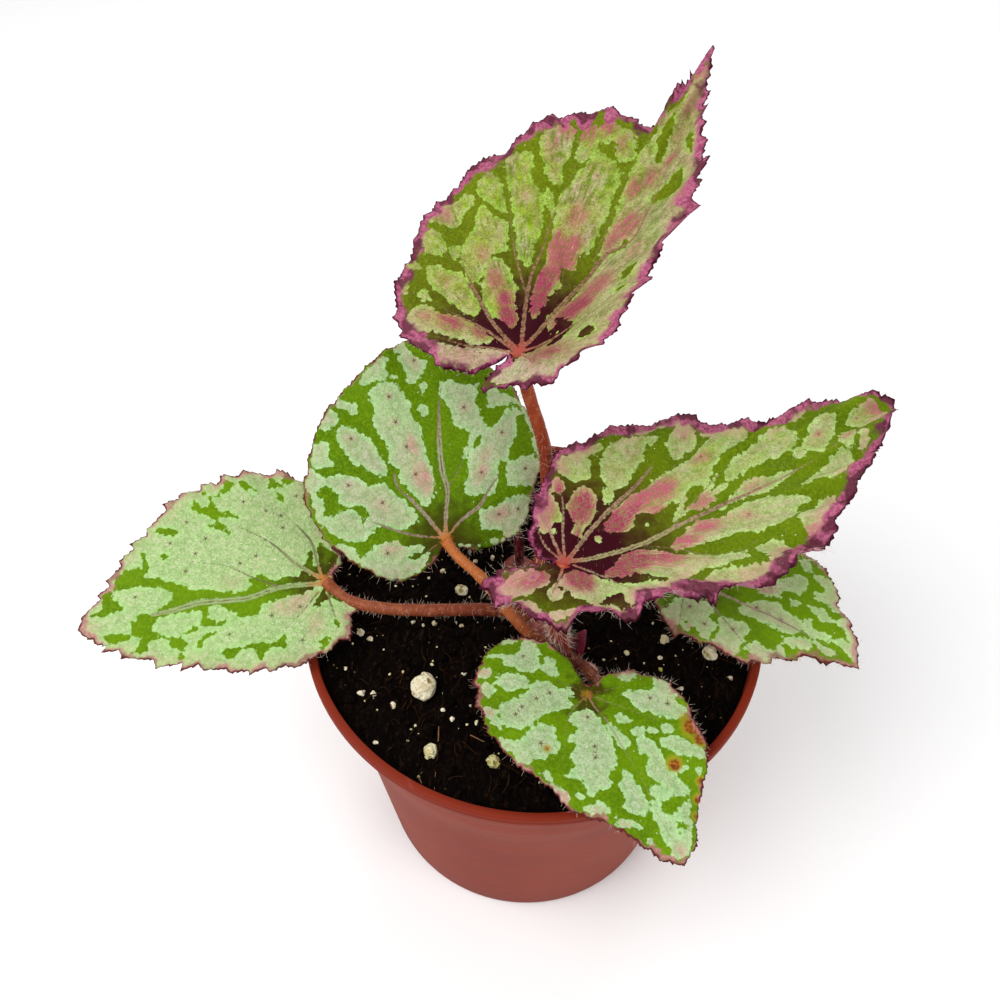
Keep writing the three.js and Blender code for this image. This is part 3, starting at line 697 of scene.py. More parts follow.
def soil_skin(name, dark, light):
    """Moist peat: nearly black with brown fibres and a few pale specks."""
    p = Paint(name)
    fibre = p.noise(900, 4, 0.7, p.stretched(1, 0.35, 1), 1.5)
    grain = p.noise(1800, 3, 0.7)
    speck = p.cells(420).step(0.05, 0.13, 1, 0) * grain.step(0.5, 0.6)
    colour = p.layers(
        dark,
        (fibre.step(0.5, 0.7), light),
        (grain.step(0.66, 0.8, 0, 0.35), (74, 48, 30)),
        (speck * 0.7, (150, 132, 84)),
    )
    p.bump(fibre + grain, 0.0006, 0.9)
    return p.finish(colour, 0.85, 0.04)


def perlite_skin():
    """Popped perlite: chalky, pitted, stained in the hollows, some grains greener."""
    p = Paint("perlite")
    pits, stain = p.cells(1300), p.noise(520, 3, 0.6)
    colour = p.layers(
        (236, 228, 200),
        (stain.step(0.4, 0.7), (208, 190, 148)),
        (pits.step(0.12, 0.4, 0.6, 0), (158, 122, 70)),
        (p.attribute("hollow") * 0.8, (120, 104, 36)),
        (p.attribute("kind"), (176, 170, 60)),
    )
    p.bump(pits + stain, 0.0004, 0.8)
    return p.finish(colour, 0.85, 0.2)


def plain_growth(name, light, dark, rough=0.45):
    """Crown, bracts, young leaf and rootlets: streaky tissue between two colours."""
    p = Paint(name)
    streak, fine = p.noise(500, 3, 0.6, p.stretched(1, 1, 0.3)), p.noise(1800, 2, 0.6)
    flecks = fine.step(0.6, 0.8, 0, 0.35)
    colour = p.layers(dark, (streak.step(0.3, 0.7), light), (flecks, (214, 160, 140)))
    p.bump(streak + fine, 0.0003, 0.6)
    return p.finish(colour, rough, 0.4)


# Leaves ---------------------------------------------------------------------------------
# Each leaf as in the solids, the top one with a narrower notch and a blunter tip: where its
# stalk joins the blade, how the blade is turned, both sides of its outline and its stalk, in
# millimetres and degrees. Its marks are in the blade's own plane, x along the midrib and y to
# its left, in half millimetres: outlines of silver patches and of green gaps, veins as x, y
# and width in hundredths, spots of blush and of brown as x, y, radius and strength in
# hundredths, and dark stars.


def rows(flat, *parts):
    """A flat list as rows, each number divided by its place's count of parts in a whole."""
    return np.reshape(flat, (-1, len(parts))) / parts


def new_leaf(name, left, right, stalk, patches, gaps, veins, blush, brown, stars, **rest):
    return SimpleNamespace(
        name=name,
        left=rows(left, 1, 1),
        right=rows(right, 1, 1),
        stalk=rows(stalk, 1, 1, 1),
        patches=[rows(outline, 2, 2) for outline in patches],
        gaps=[rows(outline, 2, 2) for outline in gaps],
        veins=[rows(line, 2, 2, 100) for line in veins],
        blush=rows(blush, 2, 2, 2, 100),
        brown=rows(brown, 2, 2, 2, 100),
        stars=rows(stars, 2, 2),
        **rest,
    )


LEAVES = [
    new_leaf(
        "top",
        at=(-4.7, 16.8, 140), heading=56.6, pitch=24.7, roll=0, length=79, arch=-2, bow=4,
        fold=(0.12, 0.75), points=144, teeth=(1.3, 2.5, 0.6, 20), ripple=1.1, frill=(0.3, 0.6),
        waves=15, quilt=0.5, thickness=(1.35, 1.65), stalk_hairs=300, stalk_hair_length=1.9,
        margin_hairs=220, margin_hair_length=1.5, hairy=(0, 1), face_hairs=260, base=0,
        left=[-2.2, 1.5, -6.4, 3.3, -9, 6.6, -9.6, 14, -8, 21.6, -3.2, 26.8, 4, 30.4, 13, 32, 22,
         33.2, 31.5, 30.2, 40.5, 27.4, 48, 23, 54, 18.2, 56.6, 9, 57.6, 3.2, 62, 2.2, 70, 1.6, 76,
         1, 79, 0],
        right=[79, 0, 77.6, -1.2, 73, -2.4, 63.3, -6.8, 50.4, -13.4, 39, -17, 31, -17.4, 22, -17.6,
         12, -18.8, 5, -19, -1.5, -15.6, -6.4, -11.2, -8, -6, -9.8, -1.6, -8.8, 2.8, -3.2, 1.2],
        stalk=[-4.7, 16.8, 139.6, -2.9, 15.9, 131, 0.1, 15.6, 120, 1.8, 16.4, 111, 2.4, 15, 102,
         1.9, 10.6, 94, 1.2, 6, 86.5, 0.8, 3.4, 79.6],
        patches=[
            [73, 52, 78, 51, 79, 46, 81, 42, 75, 38, 69, 35, 63, 26, 52, 21, 47, 20, 41, 18, 35, 16,
             34, 19, 37, 24, 47, 31, 56, 38, 64, 45],
            [83, 41, 92, 42, 98, 40, 101, 34, 93, 30, 87, 28, 80, 28, 75, 25, 72, 26, 73, 31, 79,
             36],
            [101, 30, 104, 24, 95, 19, 89, 19, 85, 23, 91, 27],
            [104, 23, 107, 17, 104, 14, 97, 16, 98, 21],
            [101, 14, 107, 14, 108, 9, 100, 5, 93, 7, 96, 12],
            [58, 19, 66, 22, 78, 22, 84, 21, 92, 17, 92, 10, 86, 5, 75, 2, 64, 0, 57, -1, 50, -2,
             49, 2, 41, -1, 39, 4, 31, 1, 23, 2, 15, 2, 16, 5, 23, 9, 32, 11, 43, 13],
            [88, 7, 90, 5, 85, 3, 83, 4],
            [45, 48, 50, 47, 48, 40, 48, 35, 41, 30, 36, 28, 31, 31, 24, 31, 18, 31, 19, 37, 25, 43,
             32, 46, 39, 46],
            [28, 33, 32, 29, 30, 23, 27, 19, 22, 14, 17, 12, 11, 7, 6, 7, 8, 12, 9, 19, 12, 24, 17,
             28, 24, 31],
            [14, 53, 18, 51, 18, 44, 19, 37, 14, 30, 10, 24, 6, 22, 4, 27, 5, 34, 6, 39, 8, 47],
            [4, 49, 6, 46, 3, 42, 1, 43, 1, 47],
            [-9, 47, -1, 44, -1, 36, 2, 29, 2, 22, 0, 13, -3, 13, -5, 19, -7, 26, -9, 35, -13, 42],
            [-16, 42, -13, 31, -10, 21, -6, 12, -3, 4, -9, 7, -15, 13, -19, 24, -20, 35],
            [58, 55, 65, 53, 63, 46, 57, 42, 52, 37, 50, 40, 52, 46, 54, 53],
            [25, 62, 31, 59, 29, 53, 25, 49, 20, 52, 21, 58],
            [38, 66, 45, 62, 52, 56, 51, 52, 43, 53, 38, 51, 34, 54, 34, 60, 33, 65],
            [9, 60, 16, 61, 14, 54, 11, 56, 5, 54, 0, 51, 0, 55, 5, 59],
            [27, 49, 30, 46, 26, 43, 23, 44, 24, 47],
            [148, 0, 141, -8, 125, -14, 110, -19, 99, -27, 89, -33, 79, -32, 70, -31, 61, -35, 50,
             -32, 40, -31, 27, -36, 16, -33, 4, -35, -3, -32, -8, -26, -11, -16, -15, -5, -15, 3,
             -9, 1, -3, -2, 1, -5, 5, -8, 10, -15, 13, -9, 20, -4, 30, -6, 41, -7, 49, -7, 56, -4,
             69, -2, 83, 1, 95, 3, 106, 3, 113, 2, 120, 5, 127, -1, 134, -1, 143, 0],
            [17, -2, 21, -3, 28, -3, 29, -4, 17, -7, 11, -7],
            [69, 29, 69, 27, 65, 22, 58, 20, 63, 26],
        ],
        gaps=[
            [114, 0, 122, -1, 114, -4, 102, -6, 99, -5, 106, -2],
            [90, -16, 97, -18, 88, -23, 84, -23, 81, -15, 82, -12],
            [113, -12, 113, -15, 105, -18, 108, -15],
            [58, -11, 62, -12, 58, -14, 53, -9],
            [47, -26, 42, -27, 40, -23, 46, -23],
            [37, -27, 35, -27, 34, -24],
            [14, -25, 13, -29, 9, -26, 10, -23],
            [19, -6, 17, -15, 12, -16, 12, -10],
            [5, -11, 12, -16, 7, -15, 3, -10],
            [-11, -1, -8, -7, -11, -5],
            [-10, 3, -8, 1, -9, -1, -11, 1],
            [-4, 0, -4, -3, -9, -6, -9, -4, -6, -3],
            [-4, 4, -3, 2, -5, 0, -6, 2],
            [-14, -11, -11, -13, -11, -16, -14, -14],
            [-9, 17, -7, 13, -6, 8, -9, 13],
            [-12, 28, -10, 26, -9, 22, -12, 25],
        ],
        veins=[
            [0, 0, 81, 11, -2, 81, 27, -4, 81, 43, -7, 75, 54, -8, 50, 61, -15, 29, 75, -14, 22, 98,
             -11, 18, 120, -7, 14, 146, -2, 8],
            [1, 0, 72, 13, 6, 70, 24, 11, 64, 32, 14, 43, 44, 16, 33, 58, 20, 26, 71, 22, 19, 92,
             26, 15, 103, 32, 9],
            [24, 12, 36, 32, 20, 36, 41, 28, 26, 56, 39, 19, 70, 49, 15, 77, 56, 8],
            [0, 1, 71, 3, 9, 70, 6, 16, 64, 11, 24, 46, 18, 34, 25, 27, 44, 17, 41, 49, 11, 53, 51,
             8],
            [11, 24, 21, 19, 40, 16, 26, 53, 11, 31, 63, 8],
            [-1, 1, 53, 1, 11, 53, 2, 18, 42, 2, 29, 25, 2, 43, 11, 1, 54, 7],
            [-2, 1, 46, -4, 10, 42, -8, 20, 32, -10, 32, 18, -14, 43, 9],
            [0, -1, 53, 6, -8, 58, 14, -15, 45, 23, -21, 25, 34, -24, 17, 48, -24, 10],
            [43, -7, 22, 52, -4, 25, 67, -1, 18, 85, 2, 16, 103, 4, 13, 122, 4, 7],
            [-1, -1, 38, -3, -9, 33, -5, -16, 18],
            [-2, 0, 36, -6, 1, 25, -12, 2, 14],
            [30, -1, 14, 40, 4, 16, 52, 9, 14, 74, 15, 9],
        ],
        blush=[43, 6, 8, 130, 32, 8, 6, 130, 22, 5, 5, 120, 48, 12, 6, 110, 50, 6, 5, 110, 63, 11,
         7, 70, 23, 25, 6, 70, 17, 17, 6, 70, 11, 12, 5, 90, 31, 36, 6, 50, -2, 31, 7, 70, 0, 18, 5,
         60, -4, 40, 5, 60, 13, 43, 5, 50, -13, 19, 12, 35, -9, 5, 6, 35, 61, 35, 7, 40, 47, 27, 5,
         30, 88, 36, 6, 50, 98, 24, 5, 60, 101, 12, 5, 60, 67, -9, 8, 90, 60, -7, 6, 80, 85, -3, 6,
         70, 92, -7, 7, 70, 103, -10, 5, 70, 115, -7, 6, 50, 143, -1, 4, 90, 36, -14, 9, 80, 27,
         -12, 9, 90, 21, -9, 7, 80, 1, -14, 11, 50, -4, -10, 8, 45, 40, 60, 6, 60, 129, -5, 7, 50,
         82, -28, 6, 80, 54, -20, 7, 50, 108, 32, 9, 160, 109, 21, 6, 140, 100, 38, 4, 130, 154, 1,
         7, 180, 145, -1, 5, 120],
        brown=[],
        stars=[94, 34, 83, 13],
    ),
    new_leaf(
        "right",
        at=(5, -10.8, 110), heading=28, pitch=8.5, roll=0, length=81.3, arch=-1, bow=5,
        fold=(0.15, 0.18), points=144, teeth=(1.2, 1.6, 0.6, 8), ripple=1.7, frill=(-0.8, 1.4),
        waves=17, quilt=0.45, thickness=(1.5, 1.75), stalk_hairs=520, stalk_hair_length=3,
        margin_hairs=360, margin_hair_length=2.8, hairy=(0.62, 1), face_hairs=420, base=0,
        left=[-2, 1.5, -4.2, 3, -3.6, 7.4, -0.6, 12.6, 3.8, 17.8, 10.3, 22.4, 16.5, 23.3, 23, 23,
         29.5, 21.4, 36, 19, 40.5, 17, 44.5, 12.4, 50, 9.8, 54.5, 7.8, 60, 8.2, 68, 5.8, 76, 2.8,
         81.3, 0],
        right=[81.3, 0, 77, -4.4, 69, -9.6, 62, -13.8, 54, -18, 46, -22.4, 38, -25, 30, -25.6, 22,
         -24.8, 16.5, -20.4, 9.5, -19, 3, -17, -4, -14.6, -9.5, -11, -13.8, -6.6, -15.6, -1.4,
         -16.4, 3.2, -12, 3.8, -6, 2.8, -2.6, 1.2],
        stalk=[5, -10.8, 109.6, 4.1, -13.2, 103, 3.9, -14.3, 97, 4.7, -13.9, 90, 6.2, -12.4, 81],
        patches=[
            [24, 27, 26, 23, 25, 17, 21, 12, 16, 9, 12, 11, 12, 17, 14, 23, 19, 26],
            [12, 12, 14, 9, 11, 6, 9, 8, 9, 11],
            [4, 33, 10, 32, 11, 26, 9, 18, 5, 17, 2, 14, -2, 15, -1, 21, 1, 29],
            [14, 35, 18, 32, 17, 28, 13, 28, 12, 31],
            [3, 16, 5, 15, 3, 12, 1, 14],
            [22, 42, 27, 42, 32, 40, 32, 35, 29, 29, 24, 29, 19, 33, 18, 39],
            [26, 46, 36, 44, 41, 38, 37, 37, 28, 41],
            [39, 35, 48, 38, 58, 36, 56, 30, 51, 24, 45, 22, 40, 18, 34, 17, 29, 14, 26, 16, 32, 23,
             34, 30],
            [54, 40, 66, 38, 79, 33, 78, 30, 64, 35, 57, 37],
            [60, 34, 63, 31, 62, 29, 58, 29],
            [66, 29, 74, 31, 79, 29, 76, 21, 70, 20, 63, 18, 63, 24],
            [50, 15, 60, 16, 68, 16, 75, 18, 86, 22, 97, 16, 92, 12, 83, 12, 76, 8, 67, 2, 61, 5,
             55, 0, 49, 2, 42, 1, 37, 4, 30, 0, 24, 1, 21, 5, 26, 9, 37, 13, 44, 13],
            [54, 1, 55, -1, 53, -4, 49, -5, 47, -5, 50, -2],
            [37, -1, 38, -2, 37, -3, 36, -1],
            [17, 4, 18, 2, 16, 1, 15, 2],
            [54, -3, 62, -1, 74, 5, 74, 4, 68, -1, 75, 0, 74, -3, 68, -4, 66, -6, 58, -6],
            [112, 10, 114, 4, 109, 0, 100, -1, 91, 0, 83, -1, 77, -1, 76, 3, 83, 7, 92, 8, 102, 11],
            [128, 7, 133, 3, 130, -1, 123, -6, 116, -9, 113, -2, 117, 2, 122, 5],
            [136, 0, 147, 3, 152, 2, 152, -6, 145, -10, 140, -9, 136, -6],
            [128, -5, 135, -6, 130, -12, 125, -12, 126, -8],
            [107, -2, 112, -1, 112, -5, 107, -7, 106, -4],
            [133, -10, 137, -10, 136, -14, 131, -16],
            [99, -18, 110, -15, 119, -12, 127, -13, 124, -20, 117, -24, 110, -25, 105, -20, 99,
             -20],
            [67, -9, 77, -6, 82, -4, 91, -6, 102, -10, 91, -12, 83, -12, 75, -10, 67, -11],
            [39, -15, 47, -12, 56, -10, 64, -14, 73, -13, 82, -15, 90, -19, 98, -26, 90, -27, 87,
             -31, 78, -31, 70, -29, 62, -25, 54, -23, 46, -21, 39, -18],
            [86, -31, 95, -31, 100, -28, 106, -30, 104, -36, 97, -37, 88, -43, 85, -40, 85, -35],
            [9, -14, 17, -11, 25, -9, 33, -14, 40, -21, 51, -29, 58, -32, 59, -38, 49, -36, 40, -33,
             32, -33, 24, -26, 20, -21, 13, -19],
            [60, -32, 63, -33, 63, -35, 59, -35],
            [63, -35, 67, -34, 74, -36, 77, -44, 73, -47, 67, -48, 64, -44, 65, -39],
            [39, -38, 45, -35, 55, -40, 65, -46, 75, -47, 70, -50, 58, -46, 53, -46, 46, -44, 41,
             -41],
            [33, -35, 39, -39, 41, -46, 43, -48, 35, -44, 31, -40],
            [-8, -8, -1, -5, 3, -7, 6, -13, 12, -22, 23, -27, 32, -34, 26, -35, 16, -34, 10, -31, 9,
             -26, 4, -25, -2, -27, -5, -21, -7, -15],
            [-26, 4, -17, 5, -12, 3, -8, -3, -12, -7, -16, -7, -20, -8, -29, -4, -30, 2],
            [-14, -10, -8, -7, -8, -13, -11, -16, -15, -14],
            [-31, -8, -22, -11, -19, -18, -13, -19, -8, -25, 0, -28, 4, -28, 9, -33, 15, -35, 11,
             -37, 0, -30, -8, -27, -15, -22, -22, -17, -28, -13],
            [113, 16, 118, 15, 124, 12, 118, 10, 111, 12],
            [80, 25, 85, 25, 89, 23, 83, 22],
        ],
        gaps=[],
        veins=[
            [0, 0, 92, 14, -5, 104, 30, -8, 105, 43, -8, 83, 56, -8, 62, 79, -9, 42, 103, -10, 22,
             129, -9, 11],
            [1, 0, 72, 13, 6, 82, 28, 12, 84, 42, 16, 65, 54, 21, 33],
            [1, 2, 51, 6, 12, 47, 12, 22, 44, 15, 29, 20],
            [0, 2, 51, 1, 11, 51, 3, 20, 40, 5, 30, 20],
            [-1, 2, 40, -3, 10, 39, -2, 19, 24],
            [2, -3, 42, 7, -11, 38, 11, -20, 25, 16, -29, 12],
            [-1, 1, 52, -8, 4, 51, -17, 6, 46, -27, 6, 19],
            [-2, -2, 54, -7, -7, 54, -13, -12, 25],
            [43, -8, 21, 55, -3, 24, 66, 1, 28, 75, 4, 20],
            [29, -8, 17, 38, -16, 26, 51, -29, 21, 69, -32, 13],
            [28, 12, 24, 36, 11, 20, 59, 16, 16, 83, 22, 11],
        ],
        blush=[28, 6, 8, 120, 40, 9, 8, 120, 50, 9, 7, 110, 44, 2, 4, 100, 15, -14, 7, 120, 25, -15,
         8, 110, 34, -20, 8, 90, 43, -27, 8, 40, 19, 19, 8, 100, 11, 9, 3, 60, 44, -16, 7, 100, 56,
         -14, 7, 90, 64, -15, 6, 50, 72, -19, 5, 50, 0, -9, 8, 110, -14, -1, 8, 110, -22, 3, 6, 80,
         15, 31, 4, 90, 7, 27, 7, 70, 2, 21, 5, 60, 73, 14, 5, 60, 122, 0, 3, 50, 73, 26, 3, 50,
         104, 8, 4, 30, 84, -7, 7, 50, 61, -3, 7, 80, 73, -41, 4, 50, 153, -1, 7, 90, 131, -7, 5,
         60, 103, -33, 5, 50, 88, -41, 5, 80, 17, -19, 5, 60, -8, -10, 5, 40, 134, 29, 10, 150, 151,
         26, 6, 140],
        brown=[],
        stars=[64, 38, 122, 0, 73, 14, 73, 26, 49, 32, 73, -19, 141, -1],
    ),
    new_leaf(
        "round",
        at=(-19.2, 2.6, 100), heading=103.5, pitch=37.2, roll=-9, length=44.1, arch=1, bow=0,
        fold=(0.06, 0), points=108, teeth=(0.6, 0.6, 0.35, 7), ripple=0.5, frill=(0.1, 0.1),
        waves=9, quilt=0.3, thickness=(1.15, 1.5), stalk_hairs=240, stalk_hair_length=1.1,
        margin_hairs=300, margin_hair_length=2.2, hairy=(0.75, 1), face_hairs=260, base=0,
        left=[-1.8, 1.1, -4.2, 3, -6.4, 6.5, -7.3, 10.4, -6, 14.6, -2.7, 19.4, 2, 24.1, 7.3, 27.2,
         12.5, 28, 19, 26.7, 24.5, 24.8, 29, 22, 33, 18, 37.5, 12.5, 41.3, 6.7, 44.1, 0],
        right=[44.1, 0, 42.5, -6.3, 39, -13, 33, -18.8, 27.2, -21.8, 21.4, -24.2, 14.4, -24.8, 9,
         -22.4, 4, -20.4, 0, -17.5, -2.3, -12.8, -3.2, -7, -2, -2.4],
        stalk=[-19.2, 2.5, 99.6, -17.2, 0.3, 98, -11.2, -4.4, 95.4, -5, -9.4, 89.6, -0.4, -11, 84.4,
         4.6, -10.6, 79],
        patches=[
            [70, 16, 67, 10, 61, 7, 54, 6, 47, 3, 40, 3, 34, 3, 26, 1, 18, 3, 15, 7, 19, 10, 23, 13,
             27, 16, 32, 16, 35, 19, 42, 19, 47, 22, 54, 24, 59, 22, 63, 24, 67, 22],
            [52, 39, 52, 34, 50, 30, 46, 26, 41, 24, 35, 21, 31, 21, 30, 24, 32, 29, 35, 32, 37, 35,
             42, 38, 47, 40],
            [80, 13, 76, 15, 73, 14, 70, 15, 70, 20, 69, 23, 70, 27, 73, 25, 77, 21, 80, 17],
            [72, 13, 72, 10, 71, 10, 70, 13],
            [65, 37, 63, 33, 61, 29, 58, 29, 57, 31, 59, 35, 61, 38],
            [60, 41, 58, 38, 55, 38, 52, 41, 52, 46, 56, 46],
            [47, 49, 46, 44, 42, 44, 38, 43, 36, 44, 37, 49, 38, 52, 43, 51],
            [37, 53, 33, 48, 33, 39, 31, 34, 27, 29, 27, 23, 22, 18, 17, 14, 11, 11, 8, 13, 7, 20,
             9, 26, 8, 30, 5, 34, 4, 38, 6, 44, 10, 49, 14, 52, 21, 54, 29, 55],
            [2, 31, 3, 24, 0, 18, 0, 13, -2, 10, -4, 12, -5, 17, -6, 14, -4, 8, -6, 8, -10, 11, -13,
             16, -14, 23, -12, 29, -9, 33, -6, 37, -3, 39, -1, 35],
            [5, 47, 4, 43, 1, 39, -1, 38, -4, 39, -2, 44, 2, 47],
            [82, 7, 86, 4, 79, 0, 77, -5, 73, -3, 70, 0, 68, 3, 69, 6, 74, 6, 78, 8],
            [67, 1, 68, -2, 66, -3, 63, -1, 64, 1],
            [59, 0, 57, -2, 53, 0, 53, 2, 56, 4, 59, 2],
            [68, -13, 65, -18, 65, -26, 58, -23, 53, -24, 44, -25, 40, -20, 33, -15, 34, -12, 41,
             -17, 45, -17, 48, -11, 53, -11, 59, -8, 66, -8],
            [52, -40, 49, -45, 47, -40, 41, -39, 36, -36, 30, -32, 29, -28, 26, -27, 24, -28, 19,
             -26, 16, -23, 17, -17, 17, -12, 20, -11, 28, -14, 34, -15, 38, -20, 44, -24, 46, -29,
             50, -34],
            [63, -29, 59, -37, 55, -42, 54, -35, 54, -29, 58, -28],
            [55, -42, 48, -48, 37, -50, 30, -50, 31, -46, 38, -46, 44, -45, 49, -43],
            [27, -31, 30, -37, 30, -43, 28, -49, 22, -47, 18, -43, 18, -36, 19, -31, 23, -31],
            [10, -17, 11, -23, 13, -29, 14, -35, 11, -41, 4, -39, 0, -35, -4, -27, 0, -24, 1, -18,
             5, -16],
            [-3, -20, -3, -26, -5, -26, -5, -20],
            [-3, -6, -4, -14, -5, -14, -5, -7],
            [85, 9, 88, 4, 83, 6, 82, 10],
        ],
        gaps=[
            [28, 50, 28, 46, 25, 43, 21, 43, 19, 39, 18, 34, 15, 32, 12, 34, 16, 35, 18, 37, 18, 40,
             18, 44, 16, 47, 17, 50, 22, 49, 25, 52],
        ],
        veins=[
            [1, 0, 85, 12, -2, 80, 21, -4, 85, 30, -3, 120, 43, -4, 112, 49, -5, 67, 56, -6, 38, 66,
             -9, 22],
            [1, 1, 69, 11, 7, 84, 18, 12, 79, 24, 17, 42, 30, 18, 52],
            [1, 2, 32, 3, 11, 47, 6, 19, 52, 11, 29, 31, 14, 36, 13],
            [2, -2, 37, 7, -8, 64, 12, -17, 70, 18, -22, 49, 24, -28, 27],
            [21, -4, 19, 27, -9, 32, 33, -13, 16],
            [-1, 2, 26, -3, 7, 21, -6, 13, 13],
        ],
        blush=[41, 8, 4, 100, 28, 6, 6, 90, 18, 26, 5, 45, 0, 23, 5, 50, 26, -20, 5, 80, 33, -23, 4,
         70, 7, -26, 6, 60, 54, -17, 4, 50, 77, 1, 5, 50, 44, 31, 4, 30, 51, 15, 3, 30, 63, 15, 3,
         30, 64, -18, 6, 35],
        brown=[],
        stars=[52, 14, 63, 15, 41, 11, 29, 9, 47, 34, 28, 38, 19, 25, -2, 26, 55, -17, 42, -32, 26,
         -20, 7, -25, 25, -40, 78, 1, 8, -34, 10, -14],
    ),
    new_leaf(
        "left",
        at=(-45.6, -1.4, 90), heading=-166.2, pitch=-2.2, roll=18, length=52.3, arch=2, bow=0,
        fold=(0.05, 0.05), points=108, teeth=(1.9, 1.9, 0.5, 7), ripple=0.7, frill=(0.2, 0.2),
        waves=11, quilt=0.3, thickness=(1.3, 1.6), stalk_hairs=260, stalk_hair_length=1.5,
        margin_hairs=240, margin_hair_length=2.3, hairy=(0.8, 1), face_hairs=220, base=1,
        left=[-1.9, 1, -4.6, 4.6, -4.8, 8.6, -3, 13, 1, 16, 7, 17.7, 13, 18.5, 19, 17.2, 26, 15, 35,
         11.8, 43, 7.8, 48, 4.2, 52.3, 0],
        right=[52.3, 0, 49, -4.2, 45, -9.5, 40.5, -14, 37, -18, 31, -23, 26, -26, 19, -27.4, 12,
         -28, 6, -27, 1.4, -24, -1.4, -17, -3.2, -9, -4, -4, -2, -1.3],
        stalk=[-45.6, -1.4, 89.6, -41, -4.3, 87.6, -35, -6.1, 87.2, -25, -6.6, 87, -15, -5.4, 85.8,
         -8, -4, 83.8, -3, -3, 81.4, 1.6, -2.6, 78.2],
        patches=[],
        gaps=[
            [50, -46, 47, -43, 44, -43, 43, -46, 46, -50, 44, -49, 42, -43, 40, -39, 36, -39, 32,
             -35, 36, -36, 40, -37, 41, -35, 37, -29, 41, -31, 46, -33, 42, -35, 43, -37, 47, -39,
             51, -42],
            [35, -53, 33, -51, 34, -48, 40, -47, 37, -50],
            [29, -52, 26, -50, 23, -46, 26, -47, 29, -49],
            [17, -54, 15, -51, 12, -47, 14, -47, 18, -47, 17, -50],
            [10, -51, 7, -52, 5, -49, 9, -47, 11, -49],
            [14, -44, 12, -42, 12, -39, 14, -42],
            [68, -37, 63, -36, 58, -33, 61, -32, 67, -35],
            [67, -24, 64, -25, 65, -22],
            [86, -19, 80, -21, 74, -20, 74, -26, 72, -21, 74, -16, 67, -13, 60, -9, 55, -5, 48, -5,
             40, -2, 35, -1, 31, -3, 31, -6, 26, -7, 21, -3, 16, -5, 11, -3, 8, -6, 4, -2, 5, 0, 13,
             -1, 22, -1, 31, 1, 40, 1, 50, -1, 57, -1, 63, 0, 70, 0, 65, -3, 63, -6, 69, -10, 79,
             -13, 87, -14],
            [5, 2, 10, 4, 18, 5, 26, 6, 29, 9, 36, 10, 40, 7, 45, 2, 49, 3, 50, 8, 46, 10, 42, 10,
             41, 11, 46, 12, 51, 11, 57, 13, 61, 13, 55, 11, 52, 9, 52, 5, 59, 3, 63, 3, 70, 3, 73,
             6, 72, 10, 67, 13, 69, 13, 75, 13, 76, 16, 79, 17, 82, 16, 78, 13, 78, 10, 81, 8, 82,
             3, 79, 2, 78, -1, 73, 1, 67, 1, 59, 0, 52, 0, 44, 2, 35, 2, 26, 1, 18, 0, 11, 0],
            [92, -13, 89, -13, 87, -8, 84, -4, 88, -3, 93, -3, 98, -4, 93, -6, 93, -10],
            [93, 5, 84, 8, 83, 10, 91, 10, 93, 7],
            [50, 14, 48, 15, 53, 18, 54, 21, 56, 20, 55, 17],
            [46, 23, 38, 23, 30, 23, 25, 25, 20, 22, 20, 27, 24, 26, 28, 27, 31, 30, 32, 26, 37, 24,
             42, 27, 46, 25],
            [66, 14, 61, 15, 61, 22, 63, 23, 63, 19, 67, 17],
            [7, -10, 4, -14, 3, -8, 1, -10, 0, -18, -3, -14, -7, -11, -4, -5, -5, -4, -1, -1, 4, -1,
             8, -7],
            [-2, 1, -6, 4, -8, 9, -4, 10, -2, 8, 0, 5, 1, 9, 6, 11, 3, 5],
            [5, 27, 1, 26, 4, 29, 5, 32, 7, 30],
            [-1, 18, -3, 20, -2, 22, -1, 20],
        ],
        veins=[
            [1, 1, 104, 11, 0, 103, 22, 0, 108, 33, 2, 115, 44, 1, 127, 54, 0, 127, 63, 1, 114, 73,
             1, 64],
            [2, -2, 83, 11, -10, 78, 19, -20, 39, 27, -27, 24, 36, -33, 13],
            [18, 0, 38, 25, -4, 36, 30, -7, 28, 40, -14, 23, 52, -18, 15, 62, -22, 10],
            [1, -2, 62, 2, -10, 57, 3, -19, 42, 9, -29, 19, 16, -39, 11],
            [3, 4, 47, 10, 11, 26, 17, 17, 20, 24, 22, 12],
            [0, 4, 36, -1, 12, 36, -2, 20, 18, 0, 27, 10],
            [-1, -1, 31, -6, -4, 21, -10, -7, 13],
        ],
        blush=[13, 8, 7, 80, 20, 9, 6, 60, 39, -6, 6, 60, 7, 19, 6, 60, 25, -12, 7, 25, 101, 0, 6,
         60, 99, -29, 4, 130],
        brown=[],
        stars=[29, -42, 20, -36, 14, -33, 14, -27, 47, -28, 62, -29, 27, -16, 34, -14, 52, -22, 57,
         -15, 79, -8, 24, 12, 12, 10, 13, 25, 42, 17, 54, -37, 6, -41],
    ),
    new_leaf(
        "front",
        at=(10, -28.5, 90), heading=-62.3, pitch=-9.5, roll=0, length=36.6, arch=2, bow=0,
        fold=(0.05, 0.05), points=108, teeth=(1, 1.1, 0.55, 7), ripple=0.6, frill=(0.2, 0.3),
        waves=9, quilt=0.3, thickness=(1.15, 1.45), stalk_hairs=340, stalk_hair_length=2,
        margin_hairs=260, margin_hair_length=1.8, hairy=(0, 0.2), face_hairs=200, base=0,
        left=[-1.4, 1.8, -2, 6.5, -0.5, 11, 3, 14.6, 7.5, 16.5, 12, 17, 16.5, 16, 21, 14, 25.5, 11,
         30, 7, 34, 3.6, 36.6, 0],
        right=[36.6, 0, 34, -2.6, 30, -5.4, 26, -8.4, 22, -11.8, 17.5, -15, 12, -17.6, 6.5, -20.2,
